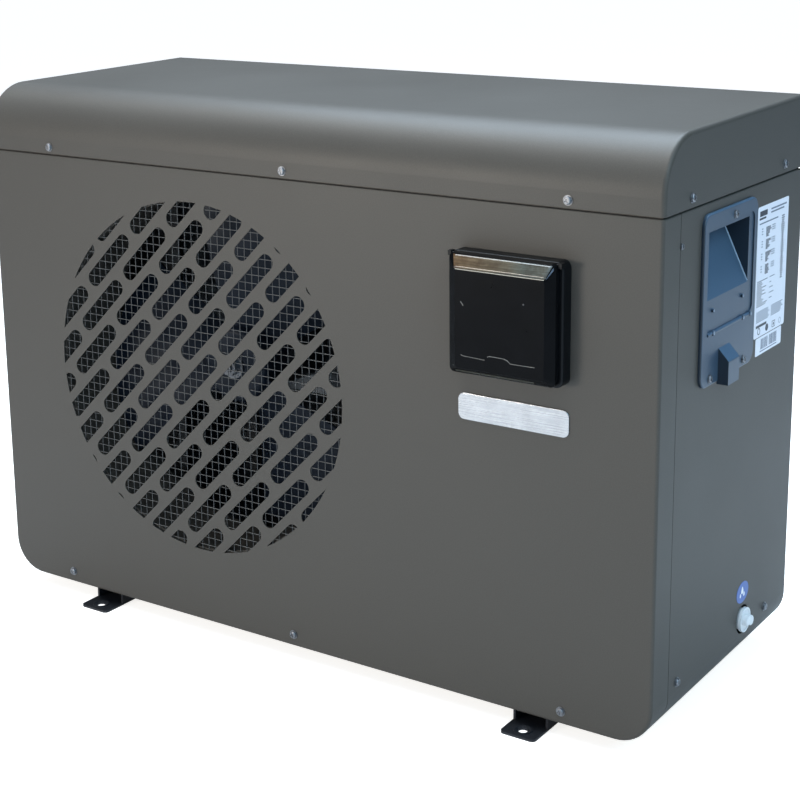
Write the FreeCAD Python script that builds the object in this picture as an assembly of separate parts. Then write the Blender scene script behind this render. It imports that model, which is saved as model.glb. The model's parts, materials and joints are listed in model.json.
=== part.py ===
import FreeCAD, Part
import math
import os

from FreeCAD import Vector

os.makedirs("parts", exist_ok=True)

# Millimetres. X runs along the front, Y from front to back, Z up.
# The origin is on the floor, at the centre of the four foot bolt holes.

# Cabinet
WIDTH = 1000.0
DEPTH = 400.0
BASE_Z = 23.0
LID_SEAM_Z = 632.0
LID_FRONT_Z = 715.0
LID_BACK_Z = 721.0
LID_FRONT_R = 65.0
LID_BACK_R = 10.0
LID_OVERHANG = 1.5
LID_EDGE_R = 5.0
SHEET = 1.2
CORNER_R = 46.0
PANEL_TOP_Z = 652.0
PANEL_EDGE_R = 4.0
LEDGE_Z = 630.0
LEDGE_DEPTH = 3.0
LEDGE_EDGE_R = 1.9
FRONT_FLANGE = 42.0
SEAM_GAP = 1.0

HALF_W = WIDTH / 2
FRONT_Y = -DEPTH / 2
BACK_Y = DEPTH / 2

# Fan opening in the front panel
FAN_X = -151.0
FAN_Z = 356.0
GRILLE_R = 232.5
SLOT_WIDTH = 21.5
SLOT_LENGTH = 98.0
SLOT_PITCH = 110.8
SLOT_ROW_PITCH = 33.3
MESH_WIRE_R = 0.5
MESH_PITCH = 10.7
MESH_R = 243.0

# Fan and motor
ROTOR_R = 225.0
HUB_R = 52.0
HUB_FRONT_Y = -122.0
HUB_BACK_Y = -70.0
SHAFT_R = 6.0
MOTOR_R = 48.0
MOTOR_FRONT_Y = -62.0
MOTOR_BACK_Y = 30.0

# Control box
CONTROL_X0 = 248.0
CONTROL_X1 = 392.0
CONTROL_Z0 = 433.0
CONTROL_Z1 = 575.0
CONTROL_DEPTH = 17.6
COVER_X0 = 252.5
COVER_X1 = 387.5
COVER_Z0 = 436.0
COVER_HINGE_Z = 572.0
COVER_HINGE_R = 2.2
COVER_FRONT_Y = -235.0
BUTTON_X = (281.0, 307.0, 333.0, 359.0)
BUTTON_Z = 468.0

# Lift handles, given for the right side
HANDLE_X = HALF_W
HANDLE_THICK = 4.0
HANDLE_Y0 = -102.5
HANDLE_Y1 = 50.0
HANDLE_Z0 = 419.0
HANDLE_Z1 = 618.0
HANDLE_R = 15.0

# Water side
EXCHANGER_X = 405.0
EXCHANGER_Y = 80.0
EXCHANGER_R = 70.0
INLET_Z = 150.0
OUTLET_Z = 370.0
DRAIN_Y = 58.0
DRAIN_Z = 84.0
DRAIN_HOLE_R = 18.5

# Feet
FOOT_X = 337.0
FOOT_Y = 202.0
FOOT_WIDTH = 47.0
FOOT_LENGTH = 436.0
FOOT_THICK = 3.0
FOOT_HOLE_R = 5.75

# Drip tray
TRAY_Z = 25.5
TRAY_TOP_Z = 52.0

# Finned coil
COIL_X0 = -470.0
COIL_X1 = 190.0
COIL_Y_NEAR = 158.0
COIL_Y_FAR = 178.0
COIL_ROWS = 14
COIL_ROW_PITCH = 40.0
COIL_ROW_Z = 65.0
COIL_TUBE_R = 4.75

AXES = {
    "+X": Vector(1, 0, 0),
    "-X": Vector(-1, 0, 0),
    "+Y": Vector(0, 1, 0),
    "-Y": Vector(0, -1, 0),
    "+Z": Vector(0, 0, 1),
    "-Z": Vector(0, 0, -1),
}


def save(name, shapes):
    """Write one node. A list becomes a group of separate solids."""
    if not isinstance(shapes, list):
        shapes = [shapes]
    solids = []
    for shape in shapes:
        solids.extend(shape.Solids)
    result = solids[0] if len(solids) == 1 else Part.makeCompound(solids)
    result.exportStep("parts/" + name + ".step")


def box(x0, x1, y0, y1, z0, z1):
    return Part.makeBox(x1 - x0, y1 - y0, z1 - z0, Vector(x0, y0, z0))


def rod(radius, start, direction, length):
    return Part.makeCylinder(radius, length, Vector(*start), AXES[direction])


def ring(outer, inner, start, direction, length):
    return rod(outer, start, direction, length).cut(rod(inner, start, direction, length))


def mirrored(shape):
    """The same shape on the left side of the cabinet."""
    return shape.mirror(Vector(0, 0, 0), Vector(1, 0, 0))


def prism(points, sweep):
    """Flat polygon pushed along a vector."""
    corners = [Vector(*p) for p in points]
    return Part.Face(Part.makePolygon(corners + [corners[0]])).extrude(Vector(*sweep))


def rounded_box(x0, x1, y0, y1, z0, z1, radius, along):
    """Box whose four edges along one axis are rounded."""
    body = box(x0, x1, y0, y1, z0, z1)
    wanted = AXES["+" + along]
    edges = [e for e in body.Edges if abs(abs(e.tangentAt(e.FirstParameter).dot(wanted)) - 1) < 1e-6]
    return body.makeFillet(radius, edges)


def flat_edges(shape, test):
    """Edges whose end points all pass the test."""
    return [e for e in shape.Edges if all(test(v.Point) for v in e.Vertexes)]


def bent_pipe(points, radius, bend):
    """Round bar that follows straight runs joined by arcs."""
    corners = [Vector(*p) for p in points]
    edges = []
    start = corners[0]
    for before, corner, after in zip(corners, corners[1:], corners[2:]):
        way_in = (corner - before).normalize()
        way_out = (after - corner).normalize()
        half_turn = way_in.getAngle(way_out) / 2
        setback = bend * math.tan(half_turn)
        first = corner - way_in * setback
        last = corner + way_out * setback
        inward = (way_out - way_in).normalize()
        middle = corner + inward * (bend / math.cos(half_turn) - bend)
        if (first - start).Length > 1e-6:
            edges.append(Part.makeLine(start, first))
        edges.append(Part.Arc(first, middle, last).toShape())
        start = last
    edges.append(Part.makeLine(start, corners[-1]))
    heading = (corners[1] - corners[0]).normalize()
    section = Part.Wire(Part.Circle(corners[0], heading, radius).toShape())
    return Part.Wire(edges).makePipeShell([section], True, False)


def screw(position, direction, head_r=4.6, head_h=2.8, shank_r=2.0, shank_l=6.0, washer_r=5.8):
    """Pan head screw with a washer, seated on a face and looking along direction."""
    washer = Part.makeCylinder(washer_r, 0.8)
    head = Part.makeCylinder(head_r, head_h, Vector(0, 0, 0.8))
    head = head.makeFillet(head_h * 0.6, flat_edges(head, lambda p: p.z > head_h))
    shank = Part.makeCylinder(shank_r, shank_l, Vector(0, 0, -shank_l))
    body = washer.fuse(head).fuse(shank).removeSplitter()
    arm = head_r * 0.6
    for turn in (0, 90):
        slot = Part.makeBox(2 * arm, 1.1, 2.0, Vector(-arm, -0.55, head_h - 0.6))
        slot.rotate(Vector(0, 0, 0), Vector(0, 0, 1), turn + 20)
        body = body.cut(slot)
    turn = FreeCAD.Rotation(Vector(0, 0, 1), AXES[direction])
    body.Placement = FreeCAD.Placement(Vector(*position), turn)
    return body


def screw_hole(position, direction, radius=2.2):
    point = Vector(*position) + AXES[direction] * 4
    return Part.makeCylinder(radius, 16, point, AXES[direction] * -1)


# --- Screw positions on the cabinet -------------------------------------------------------------------

LID_FACE_Y = FRONT_Y - LID_OVERHANG
LID_FACE_X = HALF_W + LID_OVERHANG

lid_screws = [((x, LID_FACE_Y, 640.5), "-Y") for x in (-388, 0, 387.5)]
lid_screws += [((x, -LID_FACE_Y, 640.5), "+Y") for x in (-388, 0, 387.5)]
lid_screws += [((LID_FACE_X, y, 643), "+X") for y in (-134, 134)]
lid_screws += [((-LID_FACE_X, y, 643), "-X") for y in (-134, 134)]
front_screws = [((x, FRONT_Y, 39.5), "-Y") for x in (-389, -1.5, 385.5)]
side_screws = [((HALF_W, -135, 80), "+X"), ((HALF_W, 130, 74), "+X")]
side_screws += [((-HALF_W, -135, 80), "-X"), ((-HALF_W, 130, 74), "-X")]
side_rivets = [((HALF_W, -154, 593), "+X"), ((-HALF_W, -154, 593), "-X")]
guard_screws = [((x, 199.0, z), "+Y") for x in (-486, 222) for z in (80, 330, 590)]
rear_screws = [((x, BACK_Y, z), "+Y") for x in (242, 488) for z in (70, 330, 600)]
handle_screws = [((HANDLE_X + HANDLE_THICK, y, z), "+X") for y, z in ((-19, 607), (-79, 428), (18, 428))]


def drill(shape, places):
    holes = [screw_hole(*place) for place in places]
    return shape.cut(Part.makeCompound(holes))


# --- Cabinet sheets -----------------------------------------------------------------------------------


def u_block(half, bottom, top, radius, y0, y1):
    """Block with square top corners and rounded bottom corners."""
    cut = radius * (1 - math.sqrt(0.5))
    left_top = Vector(-half, y0, top)
    left_low = Vector(-half, y0, bottom + radius)
    left_mid = Vector(-half + cut, y0, bottom + cut)
    left_base = Vector(-half + radius, y0, bottom)
    right_base = Vector(half - radius, y0, bottom)
    right_mid = Vector(half - cut, y0, bottom + cut)
    right_low = Vector(half, y0, bottom + radius)
    right_top = Vector(half, y0, top)
    outline = [
        Part.makeLine(left_top, left_low),
        Part.Arc(left_low, left_mid, left_base).toShape(),
        Part.makeLine(left_base, right_base),
        Part.Arc(right_base, right_mid, right_low).toShape(),
        Part.makeLine(right_low, right_top),
        Part.makeLine(right_top, left_top),
    ]
    return Part.Face(Part.Wire(outline)).extrude(Vector(0, y1 - y0, 0))


def fan_slots():
    """Slots at 45 degrees in a staggered pattern, cut off by the fan circle."""
    circle = Part.Wire(Part.Circle(Vector(0, 0, 0), Vector(0, 0, 1), GRILLE_R).toShape())
    disc = Part.Face(circle)
    half = (SLOT_LENGTH - SLOT_WIDTH) / 2
    radius = SLOT_WIDTH / 2
    low_left = Vector(-half, -radius, 0)
    low_right = Vector(half, -radius, 0)
    top_right = Vector(half, radius, 0)
    top_left = Vector(-half, radius, 0)
    outline = [
        Part.makeLine(low_left, low_right),
        Part.Arc(low_right, Vector(half + radius, 0, 0), top_right).toShape(),
        Part.makeLine(top_right, top_left),
        Part.Arc(top_left, Vector(-half - radius, 0, 0), low_left).toShape(),
    ]
    slot = Part.Face(Part.Wire(outline))
    slots = []
    for row in range(-7, 8):
        shift = SLOT_PITCH / 2 if row % 2 else 0
        for column in range(-3, 4):
            place = Vector(column * SLOT_PITCH + shift, row * SLOT_ROW_PITCH, 0)
            if place.Length > GRILLE_R + SLOT_LENGTH / 2:
                continue
            moved = slot.copy()
            moved.translate(place)
            clipped = moved.common(disc)
            if clipped.Area > 12:
                slots.append(clipped.extrude(Vector(0, 0, 6)))
    group = Part.makeCompound(slots)
    group.rotate(Vector(0, 0, 0), Vector(0, 0, 1), 45)
    group.rotate(Vector(0, 0, 0), Vector(1, 0, 0), 90)
    group.translate(Vector(FAN_X, FRONT_Y + 4, FAN_Z))
    return group


def ledge_edges(block):
    """Outer edges of a block's top face, apart from those at its open back."""
    back = block.BoundBox.YMax
    return [
        e
        for e in block.Edges
        if e.BoundBox.ZMin > LEDGE_Z - 0.01
        and e.BoundBox.YMin < back - 0.01
        and (e.BoundBox.YLength > 30 or e.BoundBox.YMax < FRONT_Y + PANEL_EDGE_R + 0.01)
    ]


def front_block(inset, top):
    """Front half of the cabinet with rounded front edges, drawn in by inset."""
    start = FRONT_Y + inset
    end = FRONT_Y + (60 if inset else FRONT_FLANGE)
    block = u_block(HALF_W - inset, BASE_Z + inset, top, CORNER_R - inset, start, end)
    bent = [e for e in block.Edges if e.BoundBox.YMax < start + 0.01 and e.BoundBox.ZMin < top - 0.01]
    return block.makeFillet(PANEL_EDGE_R - inset, bent)


def build_front_panel():
    outer = front_block(0, LEDGE_Z)
    outer = outer.makeFillet(LEDGE_EDGE_R, ledge_edges(outer))
    inner = front_block(SHEET, LEDGE_Z - SHEET)
    neck_x, neck_y = HALF_W - LEDGE_DEPTH, FRONT_Y + LEDGE_DEPTH
    neck = box(-neck_x, neck_x, neck_y, FRONT_Y + FRONT_FLANGE, LEDGE_Z - 5, PANEL_TOP_Z)
    room_x, room_y = neck_x - SHEET, neck_y + SHEET
    room = box(-room_x, room_x, room_y, FRONT_Y + 60, LEDGE_Z - 20, PANEL_TOP_Z + 20)
    buried = box(-neck_x, neck_x, neck_y, 0, LEDGE_Z - 6, LEDGE_Z - SHEET)
    panel = outer.cut(inner).fuse(neck.cut(buried))
    panel = panel.cut(room).cut(fan_slots())
    wiring_hole = box(300, 340, FRONT_Y - 5, FRONT_Y + 5, 480, 520)
    return drill(panel.cut(wiring_hole), lid_screws + front_screws)


def handle_opening():
    return box(HALF_W - 20, HALF_W + 20, -91, 30.5, 506, 612.3)


def build_wrap():
    start = FRONT_Y + FRONT_FLANGE + SEAM_GAP
    outer = u_block(HALF_W, BASE_Z, LEDGE_Z, CORNER_R, start, BACK_Y)
    top_edges = flat_edges(outer, lambda p: abs(p.x) > HALF_W - 0.01 and p.z > LEDGE_Z - 1)
    outer = outer.makeFillet(LEDGE_EDGE_R, top_edges)
    inner = u_block(HALF_W - SHEET, BASE_Z + SHEET, LEDGE_Z - SHEET, CORNER_R - SHEET, FRONT_Y, BACK_Y + 20)
    wrap = outer.cut(inner)
    neck_x = HALF_W - LEDGE_DEPTH
    room_x = neck_x - SHEET
    neck = box(-neck_x, neck_x, start, BACK_Y, LEDGE_Z - SHEET, PANEL_TOP_Z)
    room = box(-room_x, room_x, FRONT_Y, BACK_Y + 20, LEDGE_Z - 20, PANEL_TOP_Z + 20)
    wrap = wrap.fuse(neck).cut(room).removeSplitter()
    wrap = wrap.cut(rear_corner_notch()).cut(mirrored(rear_corner_notch()))
    wrap = wrap.cut(handle_opening()).cut(mirrored(handle_opening()))
    wrap = wrap.cut(rod(11.9, (HALF_W - 10, -39.5, 432), "+X", 20))
    wrap = wrap.cut(rod(DRAIN_HOLE_R, (HALF_W - 10, DRAIN_Y, DRAIN_Z), "+X", 20))
    for x in (-FOOT_X, FOOT_X):
        for y in (-150, 150):
            wrap = wrap.cut(rod(4.2, (x, y, BASE_Z - 5), "+Z", 12))
    return drill(wrap, lid_screws + side_screws + side_rivets + left_and_right(handle_screws))


def left_and_right(places):
    """Places on the right side and their mirror places on the left side."""
    other = [((-x, y, z), "-X") for (x, y, z), direction in places]
    return places + other


def lid_block(inset):
    """Solid inside the lid's outline, drawn in from the outer skin by inset."""
    front = LID_FACE_Y + inset
    back = -front
    low = LID_SEAM_Z - (20 if inset else 0)
    front_r = LID_FRONT_R - inset
    back_r = LID_BACK_R - inset
    top_front = LID_FRONT_Z - inset
    top_back = LID_BACK_Z - inset
    half = LID_FACE_X - inset
    corners = [
        Vector(-half, front, low),
        Vector(-half, front, top_front),
        Vector(-half, back, top_back),
        Vector(-half, back, low),
    ]
    body = Part.Face(Part.makePolygon(corners + [corners[0]])).extrude(Vector(2 * half, 0, 0))
    front_edge = flat_edges(body, lambda p: p.y < 0 and p.z > LID_SEAM_Z + 20)
    body = body.makeFillet(front_r, front_edge)
    back_edge = flat_edges(body, lambda p: p.y > back - 1 and p.z > LID_SEAM_Z + 20)
    body = body.makeFillet(back_r, back_edge)
    ends = [
        e
        for e in body.Edges
        if all(abs(abs(v.X) - half) < 0.01 for v in e.Vertexes)
        and e.BoundBox.XLength < 1
        and e.BoundBox.ZMax > low + 1
    ]
    return body.makeFillet(LID_EDGE_R - inset, ends)


def build_lid():
    return drill(lid_block(0).cut(lid_block(SHEET)), lid_screws)


# --- Fan guard and shroud -----------------------------------------------------------------------------


def mesh_chords(y, vertical):
    """One layer of straight parallel wires, each as long as its chord of the mesh circle."""
    wires = []
    count = int(MESH_R / MESH_PITCH)
    for step in range(-count, count + 1):
        offset = step * MESH_PITCH
        half = math.sqrt(MESH_R**2 - offset**2)
        if vertical:
            wires.append(rod(MESH_WIRE_R, (FAN_X + offset, y, FAN_Z - half), "+Z", 2 * half))
        else:
            wires.append(rod(MESH_WIRE_R, (FAN_X - half, y, FAN_Z + offset), "+X", 2 * half))
    return wires


def build_mesh():
    """Welded square mesh held by a flat ring."""
    first = FRONT_Y + SHEET + 0.05 + MESH_WIRE_R
    rim = ring(250, 236, (FAN_X, FRONT_Y + SHEET + 4 * MESH_WIRE_R + 0.12, FAN_Z), "+Y", 1.5)
    return mesh_chords(first, False) + mesh_chords(first + 2 * MESH_WIRE_R + 0.02, True) + [rim]


def build_shroud():
    start = FRONT_Y + SHEET + 4 * MESH_WIRE_R + 1.72
    flange = ring(252, 231, (FAN_X, start, FAN_Z), "+Y", 2)
    wall = ring(233.5, 231, (FAN_X, start, FAN_Z), "+Y", 100)
    lip = ring(240, 231, (FAN_X, start + 98, FAN_Z), "+Y", 2)
    return flange.fuse([wall, lip]).removeSplitter()


# --- Fan and motor ------------------------------------------------------------------------------------


def blade_section(distance, half_chord, pitch, camber):
    """Curved strip across one blade, at a distance from the axis along local X."""
    angle = math.radians(pitch)
    along = Vector(0, math.cos(angle), math.sin(angle))
    normal = Vector(0, -math.sin(angle), math.cos(angle))
    centre = Vector(distance, 0, 0)
    thick = 2.6

    def at(share, lift):
        return centre + along * (half_chord * share) + normal * lift

    face = Part.Arc(at(-1, 0), at(0, camber), at(1, 0)).toShape()
    end = Part.makeLine(at(1, 0), at(1, -thick))
    rear = Part.Arc(at(1, -thick), at(0, camber - thick), at(-1, -thick)).toShape()
    start = Part.makeLine(at(-1, -thick), at(-1, 0))
    return Part.Wire([face, end, rear, start])


def build_rotor():
    """Three broad blades moulded on one hub. Built about Z, then turned to look forward."""
    depth = HUB_BACK_Y - HUB_FRONT_Y
    middle = depth / 2
    stations = [(38, 40, 34, 4), (90, 74, 24, 8), (160, 122, 16, 12), (232, 150, 12, 14)]
    blade = Part.makeLoft([blade_section(*s) for s in stations], True)
    blade.translate(Vector(0, 0, middle - 2))
    blade = blade.common(Part.makeCylinder(ROTOR_R, 200, Vector(0, 0, -70)))
    hub = Part.makeCylinder(HUB_R, depth)
    hub = hub.makeFillet(8, flat_edges(hub, lambda p: p.z > depth - 1))
    hollow = Part.makeCylinder(HUB_R - 4, depth - 14, Vector(0, 0, -1))
    boss = Part.makeCylinder(14, depth - 6, Vector(0, 0, 2))
    body = hub.cut(hollow).fuse(boss)
    for turn in range(3):
        part = blade.cut(Part.makeCylinder(HUB_R - 2, 200, Vector(0, 0, -70)))
        part.rotate(Vector(0, 0, 0), Vector(0, 0, 1), -55 + 120 * turn)
        body = body.fuse(part)
    body = body.cut(Part.makeCylinder(SHAFT_R, 200, Vector(0, 0, -70)))
    body.rotate(Vector(0, 0, 0), Vector(1, 0, 0), 90)
    body.translate(Vector(FAN_X, HUB_BACK_Y, FAN_Z))
    return body.removeSplitter()


def build_fan_nut():
    washer = ring(17, SHAFT_R + 0.05, (FAN_X, HUB_FRONT_Y - 2, FAN_Z), "+Y", 2)
    hexagon = []
    for corner in range(6):
        angle = math.radians(60 * corner)
        hexagon.append((FAN_X + 12 * math.cos(angle), HUB_FRONT_Y - 11, FAN_Z + 12 * math.sin(angle)))
    nut = prism(hexagon, (0, 9, 0))
    nut = nut.cut(rod(SHAFT_R + 0.05, (FAN_X, HUB_FRONT_Y - 20, FAN_Z), "+Y", 30))
    return washer.fuse(nut)


def build_motor():
    length = MOTOR_BACK_Y - MOTOR_FRONT_Y
    body = rod(MOTOR_R, (FAN_X, MOTOR_FRONT_Y, FAN_Z), "+Y", length)
    body = body.makeFillet(6, [e for e in body.Edges if e.Curve.TypeId == "Part::GeomCircle"])
    bore = rod(SHAFT_R + 0.05, (FAN_X, MOTOR_FRONT_Y - 1, FAN_Z), "+Y", 61)
    lugs = []
    for turn in range(4):
        lug = box(MOTOR_R - 4, MOTOR_R + 16, MOTOR_BACK_Y - 14, MOTOR_BACK_Y - 8, -8, 8)
        lug = lug.cut(rod(3.2, (MOTOR_R + 8, MOTOR_BACK_Y - 20, 0), "+Y", 20))
        lug.rotate(Vector(0, 0, 0), Vector(0, 1, 0), 45 + 90 * turn)
        lug.translate(Vector(FAN_X, 0, FAN_Z))
        lugs.append(lug)
    return body.fuse(lugs).cut(bore)


def build_motor_bracket():
    """Two upright channels joined by a plate that carries the motor."""
    start = MOTOR_BACK_Y - 8 + 0.2
    shapes = []
    for side in (-1, 1):
        x = FAN_X + side * 95
        outside = box(x - 14, x + 14, start, start + 20, 27, 640)
        inside = box(x - 12, x + 12, start + 2, start + 30, 20, 650)
        shapes.append(outside.cut(inside))
    plate = box(FAN_X - 100, FAN_X + 100, start, start + 2, FAN_Z - 70, FAN_Z + 70)
    plate = plate.cut(rod(MOTOR_R + 1, (FAN_X, start - 5, FAN_Z), "+Y", 20))
    for turn in range(4):
        angle = math.radians(45 + 90 * turn)
        x = FAN_X + (MOTOR_R + 8) * math.cos(angle)
        z = FAN_Z + (MOTOR_R + 8) * math.sin(angle)
        plate = plate.cut(rod(3.2, (x, start - 5, z), "+Y", 20))
    return plate.fuse(shapes).removeSplitter()


def build_motor_bolts():
    start = MOTOR_BACK_Y - 14
    bolts = []
    for turn in range(4):
        angle = math.radians(45 + 90 * turn)
        x = FAN_X + (MOTOR_R + 8) * math.cos(angle)
        z = FAN_Z + (MOTOR_R + 8) * math.sin(angle)
        bolts.append(screw((x, start, z), "-Y", 4.6, 3.0, 3.0, 12, 6))
    return bolts


# --- Rear of the cabinet ------------------------------------------------------------------------------


def build_rear_guard():
    """Square-bar grid in a flat frame, over the finned coil."""
    x0, x1, z0, z1 = -494.0, 230.0, 46.0, 650.0
    border = 16.0
    bar = 3.0
    columns, rows = 14, 11
    cell_x = (x1 - x0 - 2 * border + bar) / columns
    cell_z = (z1 - z0 - 2 * border + bar) / rows
    plate = box(x0, x1, 196, 199, z0, z1)
    holes = []
    for column in range(columns):
        for row in range(rows):
            left = x0 + border + column * cell_x
            low = z0 + border + row * cell_z
            holes.append(box(left, left + cell_x - bar, 190, 205, low, low + cell_z - bar))
    plate = plate.cut(Part.makeCompound(holes))
    plate = plate.common(u_block(498, 26, 700, 43, 190, 205))
    return drill(plate, guard_screws + lid_screws)


def rear_corner_notch():
    """Room at the top of the right rear corner for the bent lid and the ledge of the side."""
    return box(HALF_W - 6, HALF_W + 1, BACK_Y - 17, BACK_Y + 1, LEDGE_Z - 2, PANEL_TOP_Z + 1)


def build_rear_panel():
    """Service panel with the two water holes."""
    outside = u_block(498.5, 26, PANEL_TOP_Z, 43, 184, BACK_Y)
    outside = outside.common(box(231.5, 510, 180, 210, 20, 700))
    inside = u_block(498.5 - SHEET, 26 + SHEET, PANEL_TOP_Z + 5, 43 - SHEET, 180, BACK_Y - SHEET)
    inside = inside.common(box(231.5 + SHEET, 510, 170, 210, 20, 700))
    panel = outside.cut(inside).cut(rear_corner_notch())
    for z in (INLET_Z, OUTLET_Z):
        panel = panel.cut(rod(27, (EXCHANGER_X, 190, z), "+Y", 20))
    return drill(panel, lid_screws + rear_screws)


def build_tray():
    """Drip tray that follows the rounded corners of the cabinet's base."""
    outside = u_block(497.5, TRAY_Z, 120, 43.5, -193, 182)
    inside = u_block(497.5 - SHEET, TRAY_Z + SHEET, 140, 43.5 - SHEET, -193 + SHEET, 182 - SHEET)
    tray = outside.cut(inside).cut(box(-600, 600, -300, 300, TRAY_TOP_Z, 200))
    for x in (-200, 60):
        tray = tray.cut(rod(9, (x, 120, 20), "+Z", 20))
    for x in (-FOOT_X, FOOT_X):
        for y in (-150, 150):
            tray = tray.cut(rod(4.2, (x, y, 20), "+Z", 20))
    return tray


def build_divider():
    """Stepped sheet wall between the fan space and the compressor space."""
    path = [(131, -192), (131, 128), (226, 128), (226, 182)]
    near, far = 131 + SHEET, 226 + SHEET
    inner = [(near, -192), (near, 128 - SHEET), (far, 128 - SHEET), (far, 182)]
    outline = [(x, y, 53) for x, y in path] + [(x, y, 53) for x, y in reversed(inner)]
    wall = prism(outline, (0, 0, 585))
    wall = wall.cut(rod(9, (215, 158, 372), "+X", 30))
    return wall.cut(rod(8, (215, 138, 185), "+X", 30))


# --- Finned coil --------------------------------------------------------------------------------------


def row_z(row):
    return COIL_ROW_Z + row * COIL_ROW_PITCH


def build_fins():
    top = row_z(COIL_ROWS - 1) + COIL_ROW_PITCH / 2
    pack = box(COIL_X0, COIL_X1, 148, 188, row_z(0) - COIL_ROW_PITCH / 2 + 10, top)
    holes = []
    for row in range(COIL_ROWS):
        for y in (COIL_Y_NEAR, COIL_Y_FAR):
            holes.append(rod(COIL_TUBE_R + 0.05, (COIL_X0 - 5, y, row_z(row)), "+X", 680))
    return pack.cut(Part.makeCompound(holes))


def build_end_plates():
    plates = []
    for x in (COIL_X0 - 2.0, COIL_X1 + 0.5):
        plate = box(x, x + 1.5, 144, 192, row_z(0) - 12, row_z(COIL_ROWS - 1) + 24)
        for row in range(COIL_ROWS):
            for y in (COIL_Y_NEAR, COIL_Y_FAR):
                plate = plate.cut(rod(COIL_TUBE_R + 0.05, (x - 5, y, row_z(row)), "+X", 12))
        plates.append(plate)
    return plates


def build_coil_tubes():
    """Seven circuits of four passes each, joined by return bends."""
    left = COIL_X0 - 4
    right = COIL_X1 + 4
    bend_y = (COIL_Y_FAR - COIL_Y_NEAR) / 2
    circuits = []
    for first in range(0, COIL_ROWS, 2):
        low = row_z(first)
        high = row_z(first + 1)
        path = [
            (right + 2, COIL_Y_NEAR, low),
            (left - bend_y, COIL_Y_NEAR, low),
            (left - bend_y, COIL_Y_FAR, low),
            (right + 14, COIL_Y_FAR, low),
            (right + 14, COIL_Y_FAR, high),
            (left - bend_y, COIL_Y_FAR, high),
            (left - bend_y, COIL_Y_NEAR, high),
            (right + 2, COIL_Y_NEAR, high),
        ]
        circuits.append(bent_pipe(path, COIL_TUBE_R, 9.9))
    return circuits


def build_headers():
    """Gas header on the lower pass of each circuit, liquid header on the upper pass."""
    right = COIL_X1 + 6.2
    gas = rod(8, (213, COIL_Y_NEAR, row_z(0) - 12), "+Z", 530)
    liquid = rod(6, (206, 138, row_z(0) + 20), "+Z", 530)
    gas_stubs = []
    liquid_stubs = []
    for row in range(0, COIL_ROWS, 2):
        gas_stubs.append(rod(COIL_TUBE_R, (right, COIL_Y_NEAR, row_z(row)), "+X", 213 - right))
        height = row_z(row + 1)
        path = [(right, COIL_Y_NEAR, height), (206, COIL_Y_NEAR, height), (206, 140, height)]
        liquid_stubs.append(bent_pipe(path, COIL_TUBE_R, 9.0))
    return gas, gas_stubs, liquid, liquid_stubs


# --- Refrigerant circuit ------------------------------------------------------------------------------

COMPRESSOR_X = 230.0
COMPRESSOR_Y = -60.0
COMPRESSOR_R = 62.0
COMPRESSOR_Z0 = 64.0
COMPRESSOR_Z1 = 335.0
GROMMET_PITCH_R = 74.0
FOOT_PLATE_Z = 56.0
ACCUMULATOR_X = 328.0
VALVE_Z = 400.0


def around_compressor():
    """Centres of the three compressor feet."""
    places = []
    for turn in range(3):
        angle = math.radians(30 + 120 * turn)
        x = COMPRESSOR_X + GROMMET_PITCH_R * math.cos(angle)
        y = COMPRESSOR_Y + GROMMET_PITCH_R * math.sin(angle)
        places.append((x, y))
    return places


def build_compressor():
    length = COMPRESSOR_Z1 - COMPRESSOR_Z0
    can = rod(COMPRESSOR_R, (COMPRESSOR_X, COMPRESSOR_Y, COMPRESSOR_Z0), "+Z", length)
    can = can.makeFillet(24, [e for e in can.Edges if e.Curve.TypeId == "Part::GeomCircle"])
    weld = rod(COMPRESSOR_R + 1.5, (COMPRESSOR_X, COMPRESSOR_Y, COMPRESSOR_Z1 - 36), "+Z", 5)
    x0, y0, z0 = COMPRESSOR_X - 18, COMPRESSOR_Y + 8, COMPRESSOR_Z1 - 8
    terminal = box(x0, x0 + 36, y0, y0 + 32, z0, z0 + 16)
    plate = rod(50, (COMPRESSOR_X, COMPRESSOR_Y, FOOT_PLATE_Z), "+Z", 4)
    skirt = rod(44, (COMPRESSOR_X, COMPRESSOR_Y, FOOT_PLATE_Z), "+Z", 16)
    body = can.fuse([weld, terminal, plate, skirt])
    for x, y in around_compressor():
        ear = rod(16, (x, y, FOOT_PLATE_Z), "+Z", 4)
        along = Vector(x - COMPRESSOR_X, y - COMPRESSOR_Y, 0)
        arm = Part.makeBox(along.Length, 32, 4, Vector(0, -16, 0))
        arm.rotate(Vector(0, 0, 0), Vector(0, 0, 1), math.degrees(math.atan2(along.y, along.x)))
        arm.translate(Vector(COMPRESSOR_X, COMPRESSOR_Y, FOOT_PLATE_Z))
        body = body.fuse([ear, arm])
    for x, y in around_compressor():
        body = body.cut(rod(8, (x, y, FOOT_PLATE_Z - 5), "+Z", 12))
    return body.removeSplitter()


def build_grommets():
    """Waisted rubber mounts that grip the compressor's feet."""
    start = TRAY_Z + SHEET
    mounts = []
    for x, y in around_compressor():
        foot = rod(14, (x, y, start), "+Z", FOOT_PLATE_Z - start)
        neck = rod(7.9, (x, y, FOOT_PLATE_Z - 1), "+Z", 7)
        cap = rod(12, (x, y, FOOT_PLATE_Z + 4.05), "+Z", 5)
        mounts.append(foot.fuse([neck, cap]).cut(rod(4.1, (x, y, start - 5), "+Z", 60)))
    return mounts


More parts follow.
